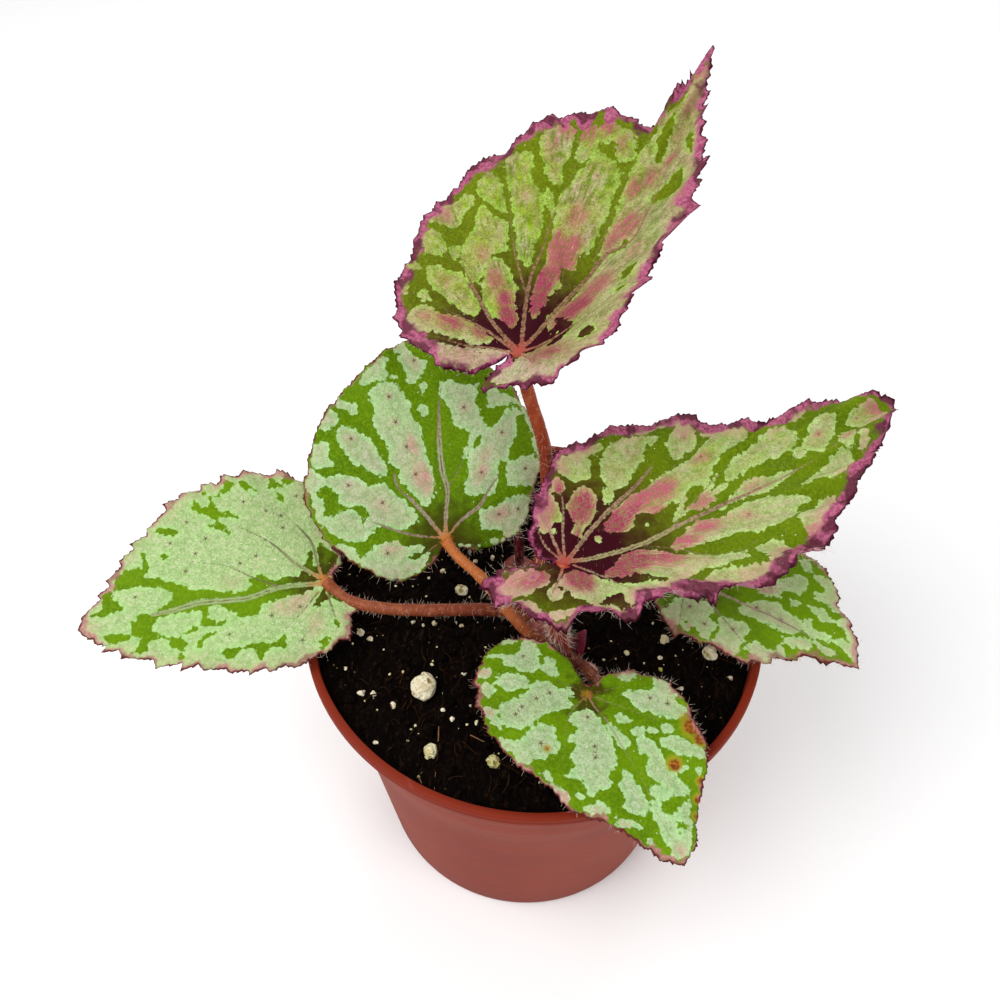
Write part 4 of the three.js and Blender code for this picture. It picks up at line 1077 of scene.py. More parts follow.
         1, -21.4, -5, -20.7, -11, -18.7, -15.2, -16, -18.4, -12, -19.6, -8, -18, -4, -14, -0.8, -9,
         0.9, -2.8, 0.9],
        stalk=[10, -28.5, 89.6, 11.6, -29, 87.4, 13.9, -27, 85, 13.8, -22.8, 83.4, 11.4, -18.4,
         82.2, 8.2, -13.8, 79.8],
        patches=[
            [-37, -19, -38, -14, -34, -12, -35, -16, -34, -19],
            [-33, -28, -32, -21, -30, -16, -35, -9, -31, -6, -26, -7, -24, -9, -20, -10, -18, -14,
             -20, -18, -23, -20, -26, -23, -29, -23],
            [-25, -7, -21, -4, -18, -4, -21, -7],
            [-20, -10, -19, -6, -15, -5, -12, -6, -14, -9, -18, -11],
            [-22, -30, -23, -24, -20, -20, -16, -17, -13, -20, -14, -24, -14, -27, -16, -29, -19,
             -30],
            [-28, -34, -28, -29, -24, -30, -24, -33, -26, -35],
            [-23, -35, -21, -31, -17, -32, -15, -36, -18, -37],
            [-14, -16, -12, -10, -8, -9, -5, -4, -1, -5, -2, -8, 2, -8, 2, -14, 1, -18, 2, -23, 3,
             -28, 2, -32, -2, -36, -7, -36, -11, -33, -11, -28, -11, -23, -12, -20],
            [2, -40, 4, -37, 6, -33, 4, -29, 4, -23, 7, -19, 11, -20, 16, -21, 17, -26, 17, -31, 17,
             -35, 14, -38, 10, -38, 7, -42],
            [5, -9, 5, -3, 8, -1, 14, -1, 18, -1, 24, -2, 31, -5, 34, -10, 37, -11, 37, -16, 38,
             -19, 36, -21, 31, -20, 27, -25, 25, -23, 25, -20, 21, -20, 18, -16, 14, -17, 12, -12,
             7, -12],
            [14, 1, 18, 3, 23, 5, 26, 4, 26, 0, 22, 0, 18, -1],
            [13, 6, 15, 9, 18, 10, 19, 8, 17, 5, 15, 4],
            [33, -3, 36, -2, 42, -1, 47, -1, 51, -2, 51, -7, 48, -10, 45, -11, 43, -8, 39, -9, 36,
             -6],
            [6, 12, 7, 19, 10, 24, 6, 28, 9, 31, 15, 32, 19, 30, 25, 33, 25, 28, 24, 23, 19, 18, 14,
             14, 9, 13],
            [-2, 15, -1, 21, 1, 22, 3, 19, 0, 15],
            [28, 5, 25, 9, 28, 12, 35, 13, 41, 13, 47, 15, 52, 16, 52, 12, 49, 9, 44, 6, 41, 4, 37,
             3, 34, 7],
            [29, 16, 30, 21, 34, 24, 40, 28, 44, 27, 41, 22, 37, 17, 32, 15],
            [25, 18, 25, 22, 29, 22, 28, 17],
            [23, 14, 25, 17, 27, 16, 25, 13],
            [21, 8, 22, 12, 26, 10, 25, 8],
            [43, 3, 44, 6, 48, 8, 51, 6, 49, 3, 45, 1],
            [48, 1, 52, 3, 56, 4, 54, 9, 54, 14, 60, 11, 65, 8, 70, 3, 69, -2, 64, -2, 59, -2, 52,
             -2],
            [47, -15, 50, -12, 52, -9, 55, -8, 53, -12, 53, -17],
            [39, -24, 40, -18, 43, -16, 46, -18, 43, -23],
            [22, -33, 23, -30, 27, -30, 30, -28, 34, -27, 36, -30, 32, -32, 28, -32],
            [33, -25, 35, -22, 37, -22, 37, -25],
            [59, -7, 62, -5, 63, -6, 61, -8],
            [-13, -39, -7, -36, -1, -38, -4, -40, -9, -41],
            [42, 17, 43, 19, 44, 18, 43, 16],
            [45, 22, 47, 23, 48, 21],
        ],
        gaps=[
            [59, 5, 62, 8, 61, 4],
            [62, 3, 63, 4, 63, 3],
            [-35, -16, -35, -13, -32, -16, -33, -18],
        ],
        veins=[
            [1, 0, 34, 7, 0, 30, 14, 1, 22, 26, 1, 14, 43, 1, 12, 58, 0, 10, 70, 1, 6],
            [1, -1, 30, 2, -5, 27, 4, -9, 19, 7, -13, 15, 21, -23, 9],
            [2, 1, 23, 7, 6, 22, 13, 11, 15, 23, 19, 9],
            [0, 0, 19, -5, -3, 16, -12, -8, 10],
            [0, 1, 19, 2, 8, 15, 3, 14, 10],
            [1, -1, 17, 5, -3, 15],
        ],
        blush=[34, -29, 3, 90, 68, 1, 3, 70, -27, -32, 4, 70, -10, -39, 4, 60, 43, -21, 2, 60, 52,
         -13, 3, 50, 8, -4, 4, 15],
        brown=[31, 30, 5, 100, 36, 29, 3, 100, 50, 21, 2, 90, 55, 17, 2, 90, 40, 15, 3, 100, 14,
         -26, 2, 60, 60, 13, 2, 70, 26, 29, 3, 50],
        stars=[-27, -14, -7, -19, -7, -13, -6, -26, -4, -30, 11, -27, 9, -5, 21, -9, 25, -11, 13,
         21, 18, 26, 15, -38],
    ),
    new_leaf(
        "back",
        at=(33.4, -1, 92), heading=-31.2, pitch=-3, roll=0, length=38.5, arch=2, bow=0,
        fold=(0.05, 0.05), points=108, teeth=(1.3, 1.3, 0.5, 7), ripple=0.5, frill=(0.3, 0.3),
        waves=9, quilt=0.3, thickness=(1.2, 1.5), stalk_hairs=420, stalk_hair_length=1.5,
        margin_hairs=300, margin_hair_length=1.7, hairy=(0.5, 0.9), face_hairs=200, base=0,
        left=[-1.6, 1.4, -5, 4.4, -6, 9.5, -3, 15, 3, 18.8, 10, 20.6, 16, 20.4, 21, 18.6, 26, 15.6,
         29.2, 11.6, 32.4, 8.2, 36, 4.2, 38.5, 0],
        right=[38.5, 0, 33.5, -3.3, 28.5, -4.6, 24.8, -8.6, 21, -12.2, 15, -14.1, 8, -14.8, 2,
         -13.6, -3, -10.5, -5.2, -6.5, -4.6, -2.6, -2, -1.2],
        stalk=[33.4, -1, 91.6, 31, -0.8, 90.6, 24, -0.4, 88, 14, 0.6, 84.4, 6.4, 1.4, 81.4, 2, 1.8,
         78.4],
        patches=[
            [-3, -22, -2, -15, 2, -10, 8, -8, 14, -8, 16, -12, 15, -15, 19, -17, 20, -24, 20, -27,
             16, -28, 13, -25, 8, -23, 6, -25, 1, -25],
            [18, -15, 22, -10, 25, -11, 30, -10, 32, -14, 32, -21, 32, -26, 27, -28, 22, -28, 20,
             -23, 21, -19],
            [23, -4, 27, 2, 31, 5, 37, 7, 41, 5, 46, 5, 51, 3, 50, -1, 47, -5, 42, -6, 36, -6, 32,
             -6, 26, -7],
            [26, 11, 31, 16, 34, 20, 39, 25, 43, 25, 45, 20, 43, 16, 37, 13, 37, 9, 35, 9, 32, 8,
             34, 8, 30, 6],
            [40, 11, 43, 12, 45, 11, 42, 8],
            [44, 28, 48, 30, 54, 30, 58, 26, 61, 18, 58, 16, 55, 19, 50, 18, 48, 21, 52, 25, 47,
             25],
            [48, 12, 52, 15, 57, 13, 61, 12, 57, 8, 53, 10],
            [47, 6, 51, 7, 54, 4, 58, 5, 62, 4, 63, 3, 59, 1, 54, 0, 50, 2],
            [61, 11, 64, 17, 69, 15, 70, 10, 75, 6, 75, 1, 71, 2, 64, 4, 66, 7, 69, 7, 65, 10],
            [56, -2, 60, 0, 64, 0, 67, -1, 64, -5, 60, -5],
            [45, -8, 50, -4, 54, -3, 57, -5, 55, -8, 52, -9, 49, -11],
            [34, -22, 35, -18, 38, -16, 41, -18, 45, -17, 46, -22, 42, -25, 38, -25],
            [44, -15, 45, -10, 49, -16, 46, -19],
            [37, 34, 39, 36, 45, 38, 48, 34, 46, 32, 42, 36, 40, 34, 44, 29, 42, 28, 38, 30],
            [6, -24, 9, -23, 11, -25, 10, -27],
        ],
        gaps=[],
        veins=[
            [0, 0, 72, 24, -1, 59, 50, 0, 36, 72, 0, 18],
            [0, 0, 59, 12, 12, 45, 28, 26, 27, 40, 35, 14],
            [0, 0, 54, 0, 14, 41, 6, 30, 18],
            [0, 0, 54, 16, -10, 41, 36, -22, 23, 46, -25, 14],
            [0, 0, 45, 2, -12, 32, 6, -24, 18],
            [0, 0, 36, -6, 6, 23],
        ],
        blush=[29, -27, 3, 70, 3, -26, 3, 80, 74, 1, 3, 60, 63, -7, 3, 60, 50, -12, 4, 40, 57, 25,
         2, 30, 10, -24, 2, 60, 29, 11, 4, 130],
        brown=[54, -11, 3, 30],
        stars=[6, -14, 15, -20, 26, -16, 30, 0, 41, 0],
    ),
]

# Smaller perlite grains seen in the photograph: x, y, radius and how green
BITS = rows([-34, -22.5, 0.68, 0, -29.5, -25.5, 0.56, 0, -36.5, -22, 0.74, 0, -19, -26.5, 0.5, 0,
 -15, -17, 0.56, 0, -32.5, -33.5, 0.5, 0, -17, -28.5, 0.43, 0, -12, -28.5, 0.5, 0.2, -38, -7.5,
 0.74, 0.1, -36, -8.5, 0.68, 0, -21, 11, 0.62, 0, -27, -3.5, 0.56, 0, -24.5, -5, 0.5, 0, -22, -4.5,
 0.56, 0, -17.5, -3.5, 0.5, 0, -16, -4.5, 0.5, 0, -13.5, 14, 0.56, 0.3, -9.5, 15.5, 0.62, 0.2, 42.5,
 -16.5, 0.56, 0.1, 31.5, -19.5, 0.62, 0, 29, -7.5, 0.93, 0.3, 27.5, -12.5, 0.56, 0.1, 27.5, -15,
 0.56, 0.9, 20.5, -11, 0.62, 0.4, 19.5, -12.5, 0.56, 1, -6.5, -25, 0.37, 0, -40.5, -16.5, 0.43, 0],
 1, 1, 1, 1)

# Fine rootlets on the soil, as x, y places
ROOTLETS = [
    [-19.7, -30.2, -19.7, -33.4, -19.7, -36.5, -19.9, -40.2, -19.9, -43.7],
    [-23.3, -40.9, -21.3, -44.1, -18.4, -46.3],
    [-13.2, -31.9, -9.5, -33.2, -6.1, -32.5],
]


# Leaf blades ----------------------------------------------------------------------------

# Millimetres: the fold's rounding at the midrib, the lattice's spacing, half the blade's
# thickness, the rounded rim's width and the silver field's limit
FOLD_ROUND = 2
LATTICE = 0.5
HALF_THICKNESS = 0.3
ROUND_EDGE = 0.6
WIDEST_SILVER = 3

# How far a spot of blush is drawn out along the leaf
BLUSH_DRAWN = 1.45


def spline_even(points, count):
    """Uniform Catmull-Rom through points, as count + 1 places evenly spaced along it."""
    p = np.asarray(points, float)
    last = len(p) - 1

    def place(t):
        at = t * last
        i = np.minimum(np.floor(at).astype(int), last)
        w = (at - i)[:, None]
        p0, p1, p2, p3 = (p[np.clip(i + k, 0, last)] for k in (-1, 0, 1, 2))
        v0, v1 = (p2 - p0) * 0.5, (p3 - p1) * 0.5
        a = 2 * p1 - 2 * p2 + v0 + v1
        b = -3 * p1 + 3 * p2 - 2 * v0 - v1
        return a * w**3 + b * w**2 + v0 * w + p1

    t = np.linspace(0, 1, 201)
    length = run_length(place(t))
    return place(np.interp(np.linspace(0, length[-1], count + 1), length, t)), length[-1]


def smooth_margin(leaf):
    """Even points from the notch round the left side to the tip, and back on the right."""
    left_length = spline_even(leaf.left, 10)[1]
    share = left_length / (left_length + spline_even(leaf.right, 10)[1])
    left_count = 4 * math.floor(leaf.points * share / 4 + 0.5)
    left = spline_even(leaf.left, left_count)[0]
    right = spline_even(leaf.right, leaf.points - left_count - 1)[0][1:]
    return np.vstack([left, right]), left_count


def saw(at, marks, heights):
    """Uneven saw teeth: each rises slowly from one mark to just before the next."""
    place = np.clip(np.searchsorted(marks, at, side="right") - 1, 0, len(marks) - 2)
    share = (at - marks[place]) / (marks[place + 1] - marks[place])
    rise = np.where(share < 0.78, share / 0.78, (1 - share) / 0.22)
    return heights[place] * rise**1.2


def uneven_marks(draw, length, low, high):
    steps = draw.uniform(low, high, int(length / low) + 4)
    return np.concatenate([[0], np.cumsum(steps)]) - low


def fine_margin(leaf, points, tip, pieces=7):
    """The margin with uneven large and small teeth, and where each point lies along it."""
    draw = np.random.RandomState(int(10 * leaf.length))
    count = len(points)
    i, t = np.divmod(np.arange(count * pieces), pieces)
    t = t / pieces
    a, b = points[i], points[(i + 1) % count]
    fine = a + (b - a) * t[:, None]
    before, after = points[np.maximum(i - 1, 0)], points[np.minimum(i + 2, count - 1)]
    run = unit((b - before) * (1 - t[:, None]) + (after - a) * t[:, None])
    out = np.stack([-run[:, 1], run[:, 0]], -1)
    along = run_length(fine)
    top = along[tip * pieces]
    from_notch = np.where(along < top, along, along[-1] - along)
    side = np.where(along < top, 0, 1)
    *big, small, tail = leaf.teeth
    fade = np.minimum(1, np.minimum(from_notch / 7, np.abs(along - top) / tail))
    reach = np.zeros(len(fine))
    for which in (0, 1):
        here = side == which
        large = uneven_marks(draw, along[-1], 3.2, 7.5)
        little = uneven_marks(draw, along[-1], 0.8, 1.7)
        teeth = saw(from_notch[here], large, draw.uniform(0.25, 1.0, len(large)))
        reach[here] += big[which] * fade[here] * (teeth - 0.35)
        reach[here] += saw(from_notch[here], little, small * draw.uniform(0.2, 1.0, len(little)))
    wild = value_noise(as_3d(*fine.T), 0.8, 5)
    swell = value_noise(as_3d(*fine.T), 6.5, 6)
    inner = np.minimum(1, np.minimum(from_notch / 7, np.abs(along - top) / (0.4 * tail)))
    reach = (reach + 0.16 * wild + 0.4 * swell) * inner
    lean = 0.35 * np.maximum(reach, 0) * np.where(side == 0, 1, -1)
    return fine + out * reach[:, None] + run * lean[:, None], i + t


class Blade:
    """Place, margin and height of one blade, as in its solid."""

    def __init__(self, leaf):
        self.leaf = leaf
        turn = Matrix.Rotation(math.radians(leaf.heading), 3, "Z")
        tilt = Matrix.Rotation(-math.radians(leaf.pitch), 3, "Y")
        roll = Matrix.Rotation(-math.radians(leaf.roll), 3, "X")
        self.turn = np.array(turn @ tilt @ roll)
        self.at = np.array(leaf.at, float)
        self.smooth, self.tip = smooth_margin(leaf)
        self.margin, self.index = fine_margin(leaf, self.smooth, self.tip)
        angle = np.unwrap(np.arctan2(self.smooth[:, 1], self.smooth[:, 0]))
        self.notch = (angle.max() + angle.min() + TURN) / 2
        order = np.argsort(angle)
        self.angles = angle[order]
        self.order = order.astype(float)
        self.reaches = np.linalg.norm(self.smooth, axis=1)[order]

    def polar(self, x, y):
        angle = np.arctan2(y, x)
        angle = np.where(angle > self.notch, angle - TURN, angle)
        angle = np.where(angle < self.notch - TURN, angle + TURN, angle)
        return angle, np.hypot(x, y)

    def ripple(self, x, y):
        """The wave of the margin, which dies away towards the stalk joint."""
        leaf = self.leaf
        angle, radius = self.polar(x, y)
        reach = np.interp(angle, self.angles, self.reaches)
        turns = leaf.waves * np.interp(angle, self.angles, self.order) / len(self.smooth)
        share = np.minimum(radius / reach, 1.05)
        wave = np.sin(TURN * turns + 0.7)
        ruffle = np.sin(TURN * 2.3 * turns + 1.9)
        frill = np.interp(y, (-4, 4), leaf.frill[::-1])
        ripple = (leaf.ripple * share**4 + frill * share**9) * wave
        ripple = ripple + 0.6 * np.maximum(frill, 0) * ruffle * share**12
        return ripple * np.minimum(1, reach / 12)

    def upper(self, x, y):
        """Height of the upper face above the blade's own plane."""
        leaf = self.leaf
        along = x / leaf.length
        arch = 4 * leaf.arch * np.where(along > 0, along * (1 - along), along)
        midrib = np.where(along > 0, -4 * leaf.bow * along * (1 - along), 0)
        side = y - midrib
        fold = np.where(side > 0, *leaf.fold)
        return arch + fold * (np.hypot(side, FOLD_ROUND) - FOLD_ROUND) + self.ripple(x, y)

    def world(self, x, y, z):
        return as_3d(x, y, z) @ self.turn.T + self.at


def vein_field(points, veins):
    """Distance to the nearest vein's edge, negative on the vein, and that vein's half width."""
    gap = np.full(len(points), 9.0)
    width = np.zeros(len(points))
    for vein in veins:
        path = spline_even(vein[:, :2], 5 * (len(vein) - 1))[0]
        share = np.linspace(0, 1, len(path))
        half = np.interp(share, np.linspace(0, 1, len(vein)), vein[:, 2]) / 2
        for first in range(0, len(points), 8000):
            part = slice(first, first + 8000)
            distance, along = segment_distance(points[part], path[:-1], path[1:])
            girth = half[:-1] + (half[1:] - half[:-1]) * along
            edge = distance - girth
            nearest = edge.argmin(1)
            row = np.arange(len(nearest))
            better = edge[row, nearest] < gap[part]
            gap[part] = np.where(better, edge[row, nearest], gap[part])
            width[part] = np.where(better, girth[row, nearest], width[part])
    return gap, width


def silver_field(points, leaf):
    """Signed distance to the silver patches in millimetres, positive inside."""
    silver = np.full(len(points), float(WIDEST_SILVER if leaf.base else -WIDEST_SILVER))
    for outline in leaf.patches:
        silver = np.maximum(silver, polygon_field(points, rounded(outline)))
    for outline in leaf.gaps:
        silver = np.minimum(silver, -polygon_field(points, rounded(outline)))
    return np.clip(silver, -WIDEST_SILVER, WIDEST_SILVER)


def spots(points, places, drawn=1.0):
    """Soft spots, drawn out from the stalk joint: x, y, radius and strength of each."""
    total = np.zeros(len(points))
    for x, y, radius, strength in places:
        outward = np.array((x, y)) / max(math.hypot(x, y), 1)
        offset = points - (x, y)
        along, across = offset @ outward, offset @ (-outward[1], outward[0])
        distance2 = (along / drawn) ** 2 + across**2 * drawn
        total = np.maximum(total, strength * np.exp(-1.2 * distance2 / radius**2))
    return total


def blade_triangles(blade):
    """Points and upward triangles of a blade: its fine margin and an even lattice inside."""
    margin = blade.margin
    inside = lattice(margin.min(0), margin.max(0), LATTICE)
    inside = inside[polygon_field(inside, margin) > 0.55 * LATTICE]
    points, faces = triangulated(np.vstack([margin, inside]), len(margin))
    edge = np.abs(polygon_field(points, margin))

    # A triangle with all its corners on the rim gets a point in its middle
    ear = (edge[faces] < 1e-3).all(1)
    ears = faces[ear]
    centre = len(points) + np.arange(len(ears))
    points = np.vstack([points, points[ears].mean(1)])
    split = [np.column_stack([ears[:, k], ears[:, (k + 1) % 3], centre]) for k in range(3)]
    faces = np.vstack([faces[~ear], *split])
    edge = np.abs(polygon_field(points, margin))
    edge[edge < 1e-3] = 0
    return points, faces, edge


def blade_piece(leaf, materials):
    """A fine blade in its solid's place, with the fields that its materials read."""
    blade = Blade(leaf)
    points, faces, edge = blade_triangles(blade)
    x, y = points.T
    vein, width = vein_field(points, leaf.veins)
    silver = silver_field(points, leaf)
    angle, radius = blade.polar(x, y)
    tint = np.stack([spots(points, leaf.blush, BLUSH_DRAWN), spots(points, leaf.brown), width], -1)
    offset = points[:, None] - leaf.stars[None]
    nearest = np.hypot(offset[..., 0], offset[..., 1]).argmin(1)
    star = as_3d(*offset[np.arange(len(points)), nearest].T, nearest.astype(float))

    inner = smooth_step(edge, 0, 3) * smooth_step(radius, 1, 6)
    quilt = leaf.quilt * (1 - np.exp(-np.maximum(vein, 0) / 1.6)) * inner
    groove = -0.22 * smooth_step(-vein, -0.5, 0.25) * np.minimum(width / 0.8, 1)
    ridge = 0.2 * smooth_step(-vein, 0.1, 0.5) * np.minimum(width / 0.8, 1)
    flat = as_3d(x, y)
    grain = 0.09 * value_noise(flat, 1.5, 3) + 0.05 * value_noise(flat, 0.8, 4)
    grain += 0.4 * leaf.quilt * value_noise(flat, 4.5, 8)
    boss = 0.35 * np.exp(-((radius / 1.6) ** 2))
    lines = (groove + ridge) * smooth_step(radius, 0, 2)
    relief = quilt - 0.5 * leaf.quilt + lines + grain * inner + boss
    t = np.minimum(edge / ROUND_EDGE, 1)
    half = HALF_THICKNESS * np.sqrt(1 - (1 - t) ** 2)
    middle = blade.upper(x, y) - HALF_THICKNESS - 0.05 + relief * smooth_step(edge, 0, 1.5)
    swell = np.minimum(width, 1.4) * smooth_step(-vein, -0.35, 0.3) * smooth_step(edge, 0.3, 1.5)
    top = blade.world(x, y, middle + half)
    under = blade.world(x, y, middle - half - 0.5 * swell)

    # The rim's points are shared by both faces
    inward = edge != 0
    below = np.arange(len(points))
    below[inward] = len(points) + np.arange(inward.sum())
    vertices = np.vstack([top, under[inward]])
    mask = np.stack([silver, vein, edge], -1)
    fields = {"mask": mask, "tint": tint, "star": star, "polar": as_3d(angle, radius)}
    fields = {key: np.concatenate([values, values[inward]]) for key, values in fields.items()}
    both = np.vstack([faces, below[faces[:, ::-1]]])
    piece = add_mesh("leaf_" + leaf.name, vertices, both, fields)
    dress(piece, materials, "blade_" + leaf.name)
    piece.data.polygons.foreach_set("material_index", np.repeat([0, 1], len(faces)))
    return blade


# Stalks and hairs -----------------------------------------------------------------------

# Radius of a stalk's hair at its root
HAIR = 0.036
STALK_STEPS = 70
STALK_SIDES = 20


def stalk_piece(leaf, material):
    """A stalk from inside its blade down into the crown, a little swollen at both ends."""
    path = curve_3d(leaf.stalk, STALK_STEPS)
    share = np.linspace(0, 1, STALK_STEPS + 1)
    thin, thick = leaf.thickness
    swollen = 0.18 * np.exp(-((share / 0.035) ** 2)) + 0.12 * np.exp(-(((1 - share) / 0.06) ** 2))
    radius = (thin + (thick - thin) * share) * (1 + swollen)
    rod = tube(path, radius, STALK_SIDES, 0.94, 0.09, 1.8, 11)
    piece = add_mesh("stem_" + leaf.name, *rod, {"along": np.repeat(share, STALK_SIDES)})
    dress(piece, [material], "stalk_" + leaf.name)

    count = leaf.stalk_hairs
    at = rng.uniform(0.03, 0.97, count)
    centre, side, other = (each_column(at, share, line) for line in (path, *path_frames(path)))
    turn = rng.uniform(0, TURN, count)[:, None]
    out = unit(side * np.cos(turn) + other * np.sin(turn))
    lean = unit(out + 0.35 * rng.normal(size=out.shape))
    length = leaf.stalk_hair_length * rng.uniform(0.35, 1.0, count)
    return hairs(centre + out * np.interp(at, share, radius)[:, None] * 0.94, lean, length, HAIR)


def margin_hairs(leaf, blade):
    """Hairs that stand out from the margin, in the blade's plane and a little up or down."""
    margin = blade.margin
    run = unit(np.roll(margin, -1, 0) - np.roll(margin, 1, 0))
    out = np.stack([-run[:, 1], run[:, 0]], -1)
    pick = rng.randint(6, len(margin) - 6, leaf.margin_hairs)
    share = blade.index[pick] / len(blade.smooth)
    low, high = leaf.hairy
    keep = ((share > low) & (share < high)) | (rng.uniform(size=len(pick)) < 0.35)
    pick = pick[keep]
    x, y = margin[pick].T
    root = blade.world(x, y, blade.upper(x, y) - HALF_THICKNESS - 0.05)
    direction = np.column_stack([out[pick], rng.normal(0.1, 0.45, len(pick))])
    direction[:, :2] += rng.normal(0, 0.35, (len(pick), 2))
    length = leaf.margin_hair_length * rng.uniform(0.3, 1.0, len(pick))
    return hairs(root, unit(direction) @ blade.turn.T, length, HAIR * 0.8)


def face_hairs(leaf, blade):
    """Short hairs on the upper face and along the lower face's veins."""
    count = leaf.face_hairs
    spot = rng.uniform(blade.smooth.min(0), blade.smooth.max(0), (count * 2, 2))
    spot = spot[polygon_field(spot, blade.margin) > 0.8][:count]
    x, y = spot.T
    direction = np.column_stack([rng.normal(0.3, 0.3, (len(x), 2)), np.ones(len(x))])
    length = rng.uniform(0.35, 0.9, len(x))
    root = blade.world(x, y, blade.upper(x, y) - 0.05)
    top = hairs(root, direction @ blade.turn.T, length, HAIR * 0.55)

    roots, directions = [], []
    for vein in leaf.veins:
        path = spline_even(vein[:, :2], 60)[0]
        path = path[polygon_field(path, blade.margin) > 1.0]
        pick = rng.randint(0, len(path), 26)
        x, y = path[pick].T + rng.normal(0, 0.25, (2, len(pick)))
        roots.append(blade.world(x, y, blade.upper(x, y) - 2.6 * HALF_THICKNESS))
        down = np.column_stack([rng.normal(0, 0.5, (len(pick), 2)), -np.ones(len(pick))])
        directions.append(down @ blade.turn.T)
    roots = np.vstack(roots)
    under = hairs(roots, np.vstack(directions), rng.uniform(0.5, 1.5, len(roots)), HAIR * 0.7)
    return joined([top, under])[:2]


# Crown, bracts and young leaf -----------------------------------------------------------

CROWN_FRONT = (6.2, -12.4)
CROWN_BACK = (-3.2, 11.6)
CROWN_RADIUS = 4.3
CROWN_RINGS = 90
CROWN_SIDES = 56
SOIL_HEIGHT = 78
CROWN_HEIGHT = SOIL_HEIGHT - 0.8

# Bracts of each colour: foot, heading, lean from upright, length, width
BRACTS = {
    "bracts_red": [
        ((8.6, -12.2, 78.6), 35, 10, 8.0, 1.9),
        ((2.6, -12.6, 78.6), -150, 40, 5.5, 1.6),
        ((-3.6, 5.8, 78.6), 165, 32, 7.0, 1.7),
    ],
    "bract_pale": [((9.0, -14.2, 78.2), -40, 48, 6.5, 1.8)],
}
BRACT_RINGS = 22
BRACT_SIDES = 18


def crown_piece(materials):
    front = np.array([*CROWN_FRONT, CROWN_HEIGHT])
    back = np.array([*CROWN_BACK, CROWN_HEIGHT])
    length = np.linalg.norm(back - front)
    at = np.linspace(-CROWN_RADIUS * 0.98, length + CROWN_RADIUS * 0.98, CROWN_RINGS)
    path = front + np.outer(at, unit(back - front))
    beyond = np.maximum(np.maximum(-at, at - length), 0)
    radius = np.sqrt(CROWN_RADIUS**2 - beyond**2)
    radius = radius * (1 + 0.035 * np.cos(1.9 * (at - length / 2)) + 0.02 * np.cos(4.3 * at))
    piece = add_mesh("crown_stem", *tube(path, radius, CROWN_SIDES, 1.0, 0.35, 2.2, 21))
    dress(piece, [materials["crown"]], "crown")
    for name, bracts in BRACTS.items():
        piece = add_mesh(name, *joined([bract(*given) for given in bracts])[:2])
        dress(piece, [materials[name]])


def bract(foot, heading, lean, size, width):
    """A pointed keeled scale that curls a little outward at its tip."""
    share = np.linspace(0, 1, BRACT_RINGS)
    out = np.array([math.cos(math.radians(heading)), math.sin(math.radians(heading)), 0])
    angle = math.radians(lean) + 0.5 * share**2
    rise = np.outer(np.sin(angle), out) + np.outer(np.cos(angle), [0, 0, 1])
    place = foot + np.cumsum(rise, 0) * (size / (BRACT_RINGS - 1))
    girth = width * np.sin(math.pi * np.clip(share * 0.72 + 0.26, 0, 1)) ** 0.8 + 0.04
    across = np.cross(out, [0, 0, 1])
    normal = np.cross(across, unit(np.gradient(place, axis=0)))
    cosine, sine = (part[None, :, None] for part in round_about(BRACT_SIDES))
    cup = 0.55 * cosine**2 * normal[:, None] * girth[:, None, None] * 0.5
    ring = cosine * across + 0.24 * sine * normal[:, None]
    vertices = (place[:, None] + ring * girth[:, None, None] - cup).reshape(-1, 3)
    return vertices, ring_faces(BRACT_RINGS, BRACT_SIDES)


def young_leaf_piece(material):
    """A dark leaf still folded along its midrib, on its own short stalk."""
    rings, sides, hair_count = 46, 28, 90
    foot = np.array([CROWN_BACK[0], CROWN_BACK[1] + 1, SOIL_HEIGHT + 2])
    up = np.linspace(-1, 13.2, rings)
    bent = np.maximum(0, up - 2.5)
    path = foot + np.stack([-0.01 * bent**2, np.zeros(rings), up], -1)
    heights = [-1, -0.6, 2.2, 3.2, 5.6, 9.4, 12.2, 13.2]
    radius = np.interp(up, heights, [0.7, 1, 1, 1.35, 1.9, 1.6, 0.7, 0.06])
    turn = np.linspace(0, TURN, sides, endpoint=False)
    leafy = smooth_step(up, 2.0, 3.6)[:, None]
    pleat = 1 + leafy * (0.10 * np.cos(7 * turn)[None] - 0.1 * np.abs(np.sin(turn))[None] ** 6)
    x = np.cos(turn)[None] * (1 - 0.38 * leafy) * pleat
    ring = as_3d(x, np.sin(turn)[None] * pleat) * radius[:, None, None]
    vertices = (path[:, None] + ring).reshape(-1, 3)
    outward = unit(ring.reshape(-1, 3))
    vertices += outward * (value_noise(vertices, 1.1, 31) * 0.08)[:, None]
    piece = add_mesh("folded_leaf", vertices, ring_faces(rings, sides))
    dress(piece, [material], "young_leaf")
    pick = rng.randint(sides * 4, len(vertices), hair_count)
    out = outward[pick] + rng.normal(0, 0.3, (hair_count, 3))
    return hairs(vertices[pick], out, rng.uniform(0.5, 1.6, hair_count), HAIR * 0.8)


# Pot ------------------------------------------------------------------------------------

